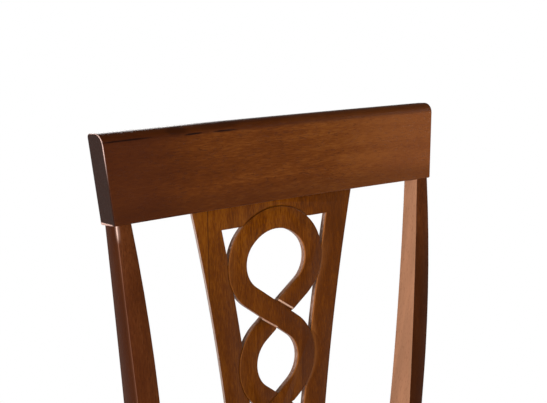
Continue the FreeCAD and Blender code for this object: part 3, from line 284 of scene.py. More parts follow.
@dataclass(frozen=True)
class WoodFinish:
    """A stained and lacquered wood, or one left unfinished."""

    name: str
    dark: Colour
    middle: Colour
    light: Colour
    end: Colour
    pore_depth: float = 0.38
    pore_tone: float = 0.45
    roughness: float = 0.30
    roughness_play: float = 0.10
    gloss: float = 0.06
    relief: float = 0.22 * MM
    relief_strength: float = 0.6
    contrast: float = 2.2
    ramp: Point = (0.22, 0.50, 0.80)
    weights: tuple[float, ...] = (0.40, 0.28, 0.32)
    end_grain: Span = (0.86, 0.97)

    def material(self, key: str, grain: Grain, offset: Point, touches: Touches = Touches()) -> Material:
        """Makes the finish for one piece.

        Args:
            key: the piece's name, which ends the material's name.
            grain: the way its fibres run.
            offset: where in the figure this piece is cut from.
            touches: marks, painted light and painted shade that only this piece has.

        Returns:
            The material.
        """
        made, tree, shader = new_material("%s_%s" % (self.name, key))
        place = tree.add("ShaderNodeTexCoord").outputs["Object"]
        board, tone = touches.boards(tree, place)
        turn = {"Vector": board, "Location": offset, "Rotation": grain.turn}
        figure = tree.group(WOOD_FIGURE, tree.put("ShaderNodeMapping", turn).outputs[0])
        colour = self.stain(tree, figure, tone)
        facing = tree.parts(tree.add("ShaderNodeNewGeometry").outputs["Normal"])
        cut = tree.step(tree.math("ABSOLUTE", facing[grain.axis]), *self.end_grain)
        colour = tree.tint(colour, self.end, cut)
        colour = touches.paint(Surface(tree, place, facing, figure), colour)
        least = self.roughness - self.roughness_play / 2
        tree.fill(shader, {
            "Base Color": colour,
            "Roughness": tree.plus(tree.times(figure.outputs["Fibres"], self.roughness_play), least),
            "Specular IOR Level": self.gloss,
            "Normal": tree.bump(figure.outputs["Height"], self.relief_strength, self.relief),
        })
        return made

    def stain(self, tree: Tree, figure: Node, tone: object) -> Socket:
        """Turns the figure's masks into the stained colour.

        Args:
            tree: the material's tree.
            figure: the node of the wood's figure.
            tone: a shift towards the light or the dark stain.

        Returns:
            The colour.
        """
        names = ("Fibres", "Rings", "Clouds")
        mixed = tree.plus(*(tree.times(figure.outputs[n], share) for n, share in zip(names, self.weights)))
        mixed = tree.times(tree.math("SUBTRACT", mixed, 0.5), self.contrast)
        ramp = tree.add("ShaderNodeValToRGB")
        stops = ramp.color_ramp.elements
        stops[0].position = self.ramp[0]
        stops[0].color = linear(*self.dark)
        stops[1].position = self.ramp[2]
        stops[1].color = linear(*self.light)
        stops.new(self.ramp[1]).color = linear(*self.middle)
        tree.feed(tree.plus(mixed, 0.5, tone), ramp.inputs[0])
        deep = tuple(part * self.pore_tone for part in self.dark)
        return tree.tint(ramp.outputs[0], deep, figure.outputs["Pores"], self.pore_depth)


def new_material(name: str) -> tuple[Material, Tree, Node]:
    """Starts a material and gives its tree and its shader."""
    made = bpy.data.materials.new(name)
    made.use_nodes = True
    return made, Tree(made.node_tree), made.node_tree.nodes["Principled BSDF"]


@dataclass(frozen=True)
class Streak:
    """A dark streak along the grain, by its middle and its half sizes."""

    x: float
    z: float
    half_length: float
    half_height: float
    depth: float


@dataclass(frozen=True)
class CrestTouches(Touches):
    """The crest rail's tones from end to end, its streaks, a painted glare at its right end, painted shade
    on its roll and along its foot, and painted highlights at its left end.
    """

    length: Span = (-0.26, 0.24)
    tones: Span = (-0.16, 0.22)
    front: Span = (-0.6, -0.9)
    # Painted glare: the front lighter and warmer towards the right end, where a lamp's reflection falls.
    right_end_glare: Shade = Shade((136, 78, 46), 0.45, 0.05, 0.23)
    left_end: Shade = Shade((70, 31, 14), 0.6, -0.11, -0.20)
    # Painted shade: the front darker towards its foot, further from the light above.
    foot: Shade = Shade((64, 28, 8), 0.42, 0.910, 0.892)
    # Painted shade: the upward-facing roll darker, as no light falls from above.
    roll: Shade = Shade((66, 27, 5), 0.62, 0.20, 0.42)
    end_line: Shade = Shade((30, 12, 8), 0.85, -0.30, -0.5)
    end_line_stop: Span = (-0.96, -0.85)
    # Painted highlight high on the left end's arris, where it catches the left lamp.
    painted_top_highlight: Colour = (214, 178, 166)
    top_highlight_rise: Span = (0.912, 0.962)
    rake: float = 0.10
    # Painted highlight: a pale strip on the rounded lower edge at the left end, where it catches the light.
    foot_highlight: Shade = Shade((206, 168, 154), 0.9, 0.9054, 0.9050)
    foot_highlight_back: Span = (0.192, 0.195)
    foot_highlight_end: Span = (-0.222, -0.2235)
    streaks: tuple[Streak, ...] = (
        Streak(-0.203, 0.9652, 0.031, 0.0010, 0.9),
        Streak(-0.120, 0.9640, 0.012, 0.0011, 0.95),
        Streak(-0.140, 0.9680, 0.016, 0.0042, 0.45),
        Streak(-0.078, 0.9638, 0.018, 0.0010, 0.95),
        Streak(-0.090, 0.9690, 0.040, 0.0036, 0.30),
    )
    streak_colour: Colour = (30, 8, 2)
    streak_front: Span = (0.3, 0.0)
    streak_edge: Span = (1.2, 0.2)
    ragged: float = 1.6

    def boards(self, tree: Tree, place: Socket) -> tuple[Socket, object]:
        """Gives one board whose tone rises to the right."""
        return place, tree.step(tree.parts(place)[0], *self.length, *self.tones)

    def paint(self, on: Surface, colour: Socket) -> Socket:
        """Adds the ends' tones, the painted glare, the painted shade on the roll and the foot, the painted
        highlights at the left end and the streaks.
        """
        tree = on.tree
        front = tree.step(on.to_back, *self.front)
        # Painted glare on the front towards the right end.
        colour = on.shade(colour, self.right_end_glare, on.x, front)
        colour = on.shade(colour, self.left_end, on.x, front)
        # Painted shade towards the foot of the front.
        colour = on.shade(colour, self.foot, on.z, front)
        # Painted shade on the upward-facing roll.
        colour = on.shade(colour, self.roll, on.to_top)
        stop = tree.step(on.to_right, *self.end_line_stop)
        colour = on.shade(colour, self.end_line, on.to_right, stop)
        # Painted highlight on the left end's arris, strongest high up.
        turned = tree.times(tree.step(on.to_right, self.end_line.start, self.end_line.end), stop)
        high = tree.step(on.z, *self.top_highlight_rise)
        colour = tree.tint(colour, self.painted_top_highlight, turned, high, high)
        # Painted highlight along the lower edge at the left end.
        raked = tree.plus(on.z, tree.times(on.y, self.rake))
        back = tree.step(on.y, *self.foot_highlight_back)
        end = tree.step(on.x, *self.foot_highlight_end)
        colour = on.shade(colour, self.foot_highlight, raked, back, end)
        return self.streaked(on, colour)

    def streaked(self, on: Surface, colour: Socket) -> Socket:
        """Adds the ragged streaks along the roll."""
        tree = on.tree
        ragged = tree.noise(tree.stretch(on.place, (70.0, 200.0, 900.0)), 1.0, 3.0, 0.6)
        ragged = tree.times(tree.math("SUBTRACT", ragged, 0.5), self.ragged)
        front = tree.step(on.to_back, *self.streak_front)
        for streak in self.streaks:
            along = tree.math("DIVIDE", tree.math("SUBTRACT", on.x, streak.x), streak.half_length)
            up = tree.math("DIVIDE", tree.math("SUBTRACT", on.z, streak.z), streak.half_height)
            reach = tree.plus(tree.times(along, along), tree.times(up, up), ragged)
            mark = tree.step(reach, *self.streak_edge)
            colour = tree.tint(colour, self.streak_colour, mark, front, streak.depth)
        return colour


@dataclass(frozen=True)
class StepHighlight:
    """A painted highlight where one strand steps over the other, by its level and its two ends."""

    level: float
    start: float
    end: float


@dataclass(frozen=True)
class SplatTouches(Touches):
    """Upright boards glued edge to edge, with painted light on left-facing slopes and walls, painted shade
    on upward faces, and painted highlights at the left edge and the crossing.
    """

    joints: tuple[float, ...] = (-0.095, -0.031, -0.0085, 0.035)
    tones: tuple[float, ...] = (0.20, 0.08, 0.14, 0.02, -0.08)
    board_shift: Span = (0.37, 0.83)
    glue_line: Shade = Shade((40, 16, 2), 0.6, 0.0012, 0.0003)
    low: Shade = Shade((78, 34, 2), 0.40, 0.88, 0.74)
    right: Shade = Shade((80, 38, 8), 0.25, 0.00, 0.10)
    # Painted light: slopes that face a little to the left made lighter, as the left lamp falls on them.
    slope: Shade = Shade((135, 80, 36), 0.5, -0.12, -0.35)
    # Painted shade: upward faces darker, as no light falls from above.
    ledge: Shade = Shade((50, 24, 6), 0.8, 0.25, 0.5)
    # Painted light: faces that turn to the left made paler, lit by the left lamp; the walls below the face
    # get a paler painted light, mottled by the fibres.
    groove: Shade = Shade((158, 94, 42), 0.8, -0.45, -0.75)
    face_y: float = 0.21447
    face_z: float = 0.885
    face_slope: float = 0.1021
    wall_depth: Span = (0.0015, 0.0021)
    wall_share: float = 0.9
    wall_fibres: Span = (0.35, 0.65)
    wall_dark: Colour = (134, 98, 80)
    wall_light: Colour = (180, 142, 124)
    # Painted highlight: a pale line on the splat's left outer edge.
    outer_edge: Shade = Shade((226, 196, 180), 0.85, -0.6, -0.85)
    outer_edge_x: Span = (-0.073, -0.077)
    step_slant: float = 0.645
    step_highlights: tuple[StepHighlight, ...] = (StepHighlight(0.7667, 0.001, 0.0235), StepHighlight(0.7338, -0.0225, 0.0))
    # Painted highlight along the steps at the crossing.
    step_highlight: Shade = Shade((214, 172, 146), 0.9, 0.00144, 0.0006)
    step_front: Span = (0.3, 0.1)
    step_fade: float = 0.001

    def boards(self, tree: Tree, place: Socket) -> tuple[Socket, object]:
        """Gives the position shifted board by board, and each board's tone."""
        x, y, z = tree.parts(place)
        tone: object = self.tones[0]
        count: object = 0.0
        for joint, before, after in zip(self.joints, self.tones, self.tones[1:]):
            past = tree.math("GREATER_THAN", x, joint)
            tone = tree.plus(tone, tree.times(past, after - before))
            count = tree.plus(count, past)
        along, up = (tree.times(count, shift) for shift in self.board_shift)
        moved = {0: tree.plus(x, along), 1: y, 2: tree.plus(z, up)}
        return tree.put("ShaderNodeCombineXYZ", moved).outputs[0], tone

    def paint(self, on: Surface, colour: Socket) -> Socket:
        """Adds the glue line, the tones, the painted light and shade on slopes, ledges and walls, and the
        painted highlights at the left edge and the crossing.
        """
        tree = on.tree
        colour = on.shade(colour, self.glue_line, tree.away(on.x, self.joints[0]))
        colour = on.shade(colour, self.low, on.z)
        colour = on.shade(colour, self.right, on.x)
        # Painted light on slopes that face left.
        colour = on.shade(colour, self.slope, on.to_right)
        # Painted shade on upward faces.
        colour = on.shade(colour, self.ledge, on.to_top)
        # Painted light on faces that turn to the left.
        colour = on.shade(colour, self.groove, on.to_right)
        # Painted light on the left-facing walls below the face, mottled by the fibres.
        face = tree.times(tree.math("SUBTRACT", on.z, self.face_z), self.face_slope)
        depth = tree.math("SUBTRACT", on.y, tree.plus(face, self.face_y))
        left = tree.step(on.to_right, self.groove.start, self.groove.end)
        painted_wall_light = tree.times(left, tree.step(depth, *self.wall_depth), self.wall_share)
        fibres = tree.step(on.figure["Fibres"], *self.wall_fibres)
        colour = tree.blend(painted_wall_light, colour, tree.tint(linear(*self.wall_dark), self.wall_light, fibres))
        # Painted highlight on the left outer edge.
        colour = on.shade(colour, self.outer_edge, on.to_right, tree.step(on.x, *self.outer_edge_x))
        return self.crossing_highlights(on, colour)

    def crossing_highlights(self, on: Surface, colour: Socket) -> Socket:
        """Adds the painted highlights where one strand steps over the other."""
        tree = on.tree
        front = tree.step(on.to_back, *self.step_front)
        height = tree.plus(on.z, tree.times(on.x, self.step_slant))
        fade = self.step_fade
        for line in self.step_highlights:
            after = tree.step(on.x, line.start - fade, line.start + fade)
            before = tree.step(on.x, line.end + fade, line.end - fade)
            colour = on.shade(colour, self.step_highlight, tree.away(height, line.level), front, after, before)
        return colour


@dataclass(frozen=True)
class ArrisWearAndLightTouches(Touches):
    """The splat's eased arrises: paler in patches, partly from wear and partly as painted highlight, with
    painted shade on upward faces and painted highlights at the left edge and the crossing.
    """

    # Paler patches on the arrises, partly wear and partly painted highlight.
    worn_and_lit_arris: Shade = Shade((156, 94, 46), 0.8, 0.30, 0.60)
    # Painted shade: upward-facing arrises darker, as no light falls from above.
    raised: Shade = Shade((56, 27, 6), 0.8, 0.2, 0.45)
    # Painted highlight along the splat's left outer arris.
    left_edge: Shade = Shade((228, 198, 182), 0.8, -0.25, -0.6)
    left_edge_x: Span = (-0.073, -0.077)
    # Painted highlight on the arrises at the crossing.
    crossing: Shade = Shade((200, 160, 134), 0.8, 0.028, 0.024)
    turned: Span = (0.15, 0.3)

    def paint(self, on: Surface, colour: Socket) -> Socket:
        """Adds the paler patches of wear and painted highlight, the painted shade on upward faces and the
        painted highlights at the left edge and the crossing.
        """
        tree = on.tree
        # Paler patches, partly wear and partly painted highlight.
        colour = on.shade(colour, self.worn_and_lit_arris, on.figure["Clouds"])
        # Painted shade on upward-facing arrises.
        colour = on.shade(colour, self.raised, on.to_top)
        # Painted highlight on the left outer arris.
        colour = on.shade(colour, self.left_edge, on.to_right, tree.step(on.x, *self.left_edge_x))
        # Painted highlight on the diagonal arrises near the crossing.
        across = tree.step(tree.math("ABSOLUTE", on.to_right), *self.turned)
        up = tree.step(tree.math("ABSOLUTE", on.to_top), *self.turned)
        return on.shade(colour, self.crossing, tree.math("ABSOLUTE", on.x), across, up)


@dataclass(frozen=True)
class LeftPostTouches(Touches):
    """The left post: painted shade on its outer face, a darker front left arris with a painted highlight
    along it, brightest at its top.
    """

    front: Shade = Shade((66, 28, 8), 0.25, -0.9, -0.97)
    # Painted shade: the outer face darker, out of the left lamp's light.
    outer: Shade = Shade((60, 26, 8), 0.85, -0.82, -0.95)
    arris: Shade = Shade((70, 31, 12), 0.7, 0.12, 0.3)
    arris_front: Span = (0.0, -0.1)
    # Painted highlight: a pale line along the front left arris, where it catches the light.
    wear_and_highlight: Shade = Shade((122, 80, 60), 0.8, -0.45, -0.6)
    # Painted highlight: the top of the front left arris brightest.
    painted_top_highlight: Shade = Shade((226, 190, 174), 0.95, 0.866, 0.879)

    def paint(self, on: Surface, colour: Socket) -> Socket:
        """Adds the tone of the front, the painted shade on the outer face, the darker arris and its painted
        highlights.
        """
        tree = on.tree
        colour = on.shade(colour, self.front, on.to_back)
        # Painted shade on the outer face.
        colour = on.shade(colour, self.outer, on.to_right)
        turned = tree.times(on.to_right, on.to_back)
        front = tree.step(on.to_back, *self.arris_front)
        colour = on.shade(colour, self.arris, turned, front)
        arris = tree.times(tree.step(turned, self.arris.start, self.arris.end), front)
        # Painted highlight along the front left arris.
        colour = on.shade(colour, self.wear_and_highlight, on.to_right, arris)
        # Painted highlight at the top of the arris.
        return on.shade(colour, self.painted_top_highlight, on.z, arris)


@dataclass(frozen=True)
class RightPostTouches(Touches):
    """The right post: darker low down, and painted light on its inner face, where the left lamp falls and
    the backdrop is reflected.
    """

    low: Shade = Shade((46, 17, 2), 0.72, 0.87, 0.76)
    inner: Span = (-0.82, -0.95)
    # Painted light: the inner face paler, mottled by the rings and pores.
    pale: Colour = (182, 128, 96)
    mottled: float = 0.9
    mottle: Span = (0.3, 0.75)
    pores: Colour = (112, 68, 44)
    pore_share: float = 0.35

    def paint(self, on: Surface, colour: Socket) -> Socket:
        """Adds the darker lower part and the painted light on the inner face."""
        tree = on.tree
        colour = on.shade(colour, self.low, on.z)
        # Painted light on the inner face, mottled by the rings and pores.
        mottle = tree.step(on.figure["Rings"], *self.mottle)
        darker = tuple(part * self.mottled for part in self.pale)
        pale = tree.tint(linear(*darker), self.pale, mottle)
        pale = tree.tint(pale, self.pores, on.figure["Pores"], self.pore_share)
        return tree.blend(tree.step(on.to_right, *self.inner), colour, pale)


@dataclass(frozen=True)
class ClothFinish:
    """A plain-woven cloth."""

    name: str
    light: Colour
    dark: Colour
    thread: float
    uses_map: bool
    sheen: float = 0.25
    sheen_roughness: float = 0.5
    roughness: float = 0.9
    gloss: float = 0.2
    relief: float = 0.3
    relief_strength: float = 0.7
    weights: tuple[float, ...] = (0.55, 0.30, 0.25)
    fade: Span = (0.25, 0.85)

    def material(self) -> Material:
        """Makes the cloth."""
        made, tree, shader = new_material(self.name)
        source = tree.add("ShaderNodeTexCoord")
        place = source.outputs["UV" if self.uses_map else "Object"]
        weave = tree.group(PLAIN_WEAVE, tree.stretch(place, (1 / self.thread,) * 3))
        cloud = tree.noise(source.outputs["Object"], 9.0, 3.0)
        slub = tree.noise(tree.stretch(place, (40.0, 700.0, 40.0)), 1.0, 2.0)
        masks = (weave.outputs["Height"], slub, cloud)
        mixed = tree.plus(*(tree.times(mask, share) for mask, share in zip(masks, self.weights)))
        colour = tree.tint(linear(*self.dark), self.light, tree.step(mixed, *self.fade))
        tree.fill(shader, {
            "Base Color": colour,
            "Roughness": self.roughness,
            "Specular IOR Level": self.gloss,
            "Sheen Weight": self.sheen,
            "Sheen Roughness": self.sheen_roughness,
            "Normal": tree.bump(weave.outputs["Height"], self.relief_strength, self.thread * self.relief),
        })
        return made


def weave_group() -> None:
    """Makes the plain weave, which turns a position in threads into a height."""
    tree, place, given = new_group(PLAIN_WEAVE, ("Height",))
    x, y = (tree.times(part, math.pi) for part in tree.parts(place)[:2])
    warp, weft = (tree.math("ABSOLUTE", tree.math("SINE", part)) for part in (x, y))
    over = tree.times(tree.math("COSINE", x), tree.math("COSINE", y))
    pick = tree.step(over, -0.25, 0.25)
    height = tree.plus(tree.times(pick, warp), tree.times(tree.math("SUBTRACT", 1.0, pick), weft))
    tree.fill(given, {"Height": height})


@dataclass(frozen=True)
class HardFinish:
    """A metal or a plastic with fine wear."""

    name: str
    colour: Colour
    wear_and_highlight: Colour
    metal: float
    roughness: float
    wear_scale: float
    wear: Span = (0.35, 0.7)
    roughness_play: float = 0.2
    relief: float = 0.1 * MM
    relief_strength: float = 0.3

    def material(self) -> Material:
        """Makes the finish."""
        made, tree, shader = new_material(self.name)
        wear = tree.noise(tree.add("ShaderNodeTexCoord").outputs["Object"], self.wear_scale, 4.0, 0.6)
        least = self.roughness - self.roughness_play / 2
        tree.fill(shader, {
            "Base Color": tree.tint(linear(*self.colour), self.wear_and_highlight, tree.step(wear, *self.wear)),
            "Roughness": tree.plus(tree.times(wear, self.roughness_play), least),
            "Metallic": self.metal,
            "Normal": tree.bump(wear, self.relief_strength, self.relief),
        })
        return made


@dataclass(frozen=True)
class Finishes:
    """Every finish of the chair."""

    crest: WoodFinish = WoodFinish(
        "stained_crest", (78, 36, 9), (98, 49, 13), (122, 68, 24), (42, 20, 11), contrast=1.8
    )
    post: WoodFinish = WoodFinish(
        "stained_post", (72, 34, 14), (88, 44, 18), (106, 58, 28), (66, 40, 28), gloss=0.02
    )
    splat: WoodFinish = WoodFinish(
        "stained_splat", (77, 35, 0), (99, 48, 0), (126, 68, 6), (64, 36, 18), contrast=2.7
    )
    frame: WoodFinish = WoodFinish("stained_frame", (74, 35, 12), (92, 46, 16), (112, 60, 24), (60, 37, 27))
    block: WoodFinish = WoodFinish(
        "bare_block", (176, 140, 98), (196, 160, 116), (212, 180, 138), (160, 122, 84),
        pore_depth=0.25, roughness=0.7, gloss=0.2,
    )
    ply: WoodFinish = WoodFinish(
        "bare_plywood", (186, 152, 106), (204, 172, 126), (220, 192, 150), (150, 114, 76),
        pore_depth=0.2, roughness=0.75, gloss=0.2,
    )
    seat: ClothFinish = ClothFinish("seat_cloth", (206, 190, 164), (158, 138, 110), 1.6 * MM, True)
    lining: ClothFinish = ClothFinish(
        "lining_cloth", (46, 44, 43), (22, 21, 21), 1.1 * MM, False, sheen=0.1
    )
    screw: HardFinish = HardFinish("zinc_screw", (176, 178, 180), (140, 140, 140), 1.0, 0.38, 700.0)
    # Painted shade: the dark finish of the crosses that stand for the screws' recesses.
    recess: HardFinish = HardFinish("screw_recess_shade", (34, 34, 36), (60, 60, 62), 1.0, 0.55, 700.0)
    glide: HardFinish = HardFinish("nylon_glide", (38, 34, 31), (58, 52, 47), 0.0, 0.55, 300.0)


def linked(name: str, data: bpy.types.ID) -> Object:
    """Makes an object from its data and links it to the scene."""
    made = bpy.data.objects.new(name, data)
    bpy.context.scene.collection.objects.link(made)
    return made


def opened(shape: bpy.types.Mesh) -> bmesh.types.BMesh:
    """Opens a mesh to be worked on."""
    work = bmesh.new()
    work.from_mesh(shape)
    return work


def closed(work: bmesh.types.BMesh, shape: bpy.types.Mesh) -> None:
    """Writes worked faces into a mesh and frees them."""
    work.to_mesh(shape)
    work.free()


def merged_copy(node: str, name: str, flat_within: float = 0.4) -> Object:
    """Copies a node's mesh into a new object with its faces joined up.

    Args:
        node: the node whose shape is copied.
        name: the new object's name.
        flat_within: the angle in degrees below which two faces become one.

    Returns:
        The new object, linked to the scene.
    """
    shape = bpy.data.meshes.new(name)
    work = opened(frame["nodes"][node].data)
    bmesh.ops.remove_doubles(work, verts=work.verts, dist=WELD)
    bmesh.ops.dissolve_limit(
        work,
        angle_limit=math.radians(flat_within),
        verts=work.verts,
        edges=work.edges,
        use_dissolve_boundaries=False,
    )
    closed(work, shape)
    return linked(name, shape)


def baked(piece: Object) -> None:
    """Turns a piece's live modifiers into plain mesh."""
    graph = bpy.context.evaluated_depsgraph_get()
    shape = bpy.data.meshes.new_from_object(piece.evaluated_get(graph))
    piece.modifiers.clear()
    piece.data = shape


def smooth(shape: bpy.types.Mesh, angle: float) -> None:
    """Shades a mesh smooth except over edges sharper than an angle in degrees."""
    shape.shade_smooth()
    shape.set_sharp_from_angle(angle=math.radians(angle))


def dress(node: str, material: Material) -> None:
    """Gives a node its finish in every material slot.

    Args:
        node: the node's name.
        material: its finish.
    """
    piece = frame["nodes"][node]
    if not piece.material_slots:
        piece.data.materials.append(material)
    for place in piece.material_slots:
        place.material = material
    log.info("%s dressed as %s", node, material.name)


@dataclass
class EasedWood:
    """A stained piece whose arrises are eased with glasspaper."""

    node: str
    slot: str
    width: float
    segments: int = 2
    angle: float = 35.0
    smooth_angle: float = 32.0
    upright_only: bool = False
    upright_least: float = 0.8

    def arrises(self, work: bmesh.types.BMesh) -> list[bmesh.types.BMEdge]:
        """Finds the arrises to ease.

        Args:
            work: the piece's mesh.

        Returns:
            Its sharp outward edges, or only the upright ones.
        """
        least = math.radians(self.angle)
        found = []
        for edge in work.edges:
            if not edge.is_manifold or not edge.is_convex or edge.calc_face_angle() < least:
                continue
            way = (edge.verts[0].co - edge.verts[1].co).normalized()
            if self.upright_only and abs(way.z) < self.upright_least:
                continue
            found.append(edge)
        return found

    def build(self, faces: Material, worn_and_lit_arris: Material) -> None:
        """Copies the node, eases its arrises and puts the copy in its place.

        Args:
            faces: the finish of its faces.
            worn_and_lit_arris: the finish of its eased arrises, with the wear and painted light that they
                carry.
        """
        piece = merged_copy(self.node, self.node + "_eased")
        work = opened(piece.data)
        bmesh.ops.bevel(
            work,
            geom=self.arrises(work),
            offset=self.width,
            segments=self.segments,
            profile=0.5,
            affect="EDGES",
            clamp_overlap=False,
            material=1,
        )
        closed(work, piece.data)
        smooth(piece.data, self.smooth_angle)
        piece.data.materials.clear()
        piece.data.materials.append(faces)
        piece.data.materials.append(worn_and_lit_arris)
        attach(piece, "root")
        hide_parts(self.node)
        log.info("%s eased by %.1f mm, %d faces", self.node, self.width / MM, len(piece.data.polygons))


@dataclass
class BackFrame:
    """The crest rail, the two back posts and the shoe of the splat."""

    post_ease: float = 0.9 * MM
    post_grain: Point = (0.2, 0.4, 0.1)

    def build(self, finishes: Finishes) -> None:
        """Dresses the back frame.

        Args:
            finishes: the chair's finishes.
        """
        crest = finishes.crest.material("crest_rail", Grain.ACROSS, (0.31, 0.12, 0.05), CrestTouches())
        dress("crest_rail", crest)
        touches = {Side.LEFT: LeftPostTouches(), Side.RIGHT: RightPostTouches()}
        for side, node in ((Side.LEFT, "left_back_post"), (Side.RIGHT, "right_back_post")):
            offset = (self.post_grain[0] * side.value, self.post_grain[1], self.post_grain[2])
            faces = finishes.post.material(node, Grain.UPRIGHT, offset, touches[side])
            EasedWood(node, "frame_wood", self.post_ease, upright_only=True).build(faces, faces)
        shoe = finishes.frame.material("splat_shoe", Grain.ACROSS, (0.7, 0.2, 0.4))
        dress("splat_shoe", shoe)


@dataclass
class Splat:
    """The pierced and carved back splat."""

    ease: float = 0.7 * MM
    offset: Point = (0.05, 0.3, 0.2)

    def build(self, finishes: Finishes) -> None:
        """Eases and dresses the splat.

        Args:
            finishes: the chair's finishes.
        """
        faces = finishes.splat.material("back_splat", Grain.UPRIGHT, self.offset, SplatTouches())
        worn_and_lit_arris = finishes.splat.material("back_splat_arris", Grain.UPRIGHT, self.offset, ArrisWearAndLightTouches())
        EasedWood("back_splat", "splat_wood", self.ease).build(faces, worn_and_lit_arris)


@dataclass
class SeatFrame:
    """The front legs, seat rails, stretchers and corner blocks."""

    across: tuple[str, ...] = ("front_seat_rail", "rear_seat_rail", "middle_stretcher")
    deep: tuple[str, ...] = (
        "left_seat_rail",
        "right_seat_rail",
        "left_side_stretcher",
        "right_side_stretcher",
    )
    upright: tuple[str, ...] = ("left_front_leg", "right_front_leg")
    blocks: tuple[str, ...] = (
        "front_left_corner_block",
        "front_right_corner_block",
        "rear_left_corner_block",
        "rear_right_corner_block",
    )
    first_cut: float = 0.17
    next_cut: Point = (0.53, 0.29, 0.11)
    block_cut: Point = (0.4, 0.2, 0.1)

    def build(self, finishes: Finishes) -> None:
        """Dresses the seat frame.

        Args:
            finishes: the chair's finishes.
        """
        runs = ((self.across, Grain.ACROSS), (self.deep, Grain.DEEP), (self.upright, Grain.UPRIGHT))
        for names, grain in runs:
            for count, node in enumerate(names):
                along, out, up = (step * count for step in self.next_cut)
                offset = (self.first_cut + along, out, up)
                dress(node, finishes.frame.material(node, grain, offset))
        for count, node in enumerate(self.blocks):
            offset = (self.block_cut[0] * count, self.block_cut[1], self.block_cut[2])
            dress(node, finishes.block.material(node, Grain.ACROSS, offset))


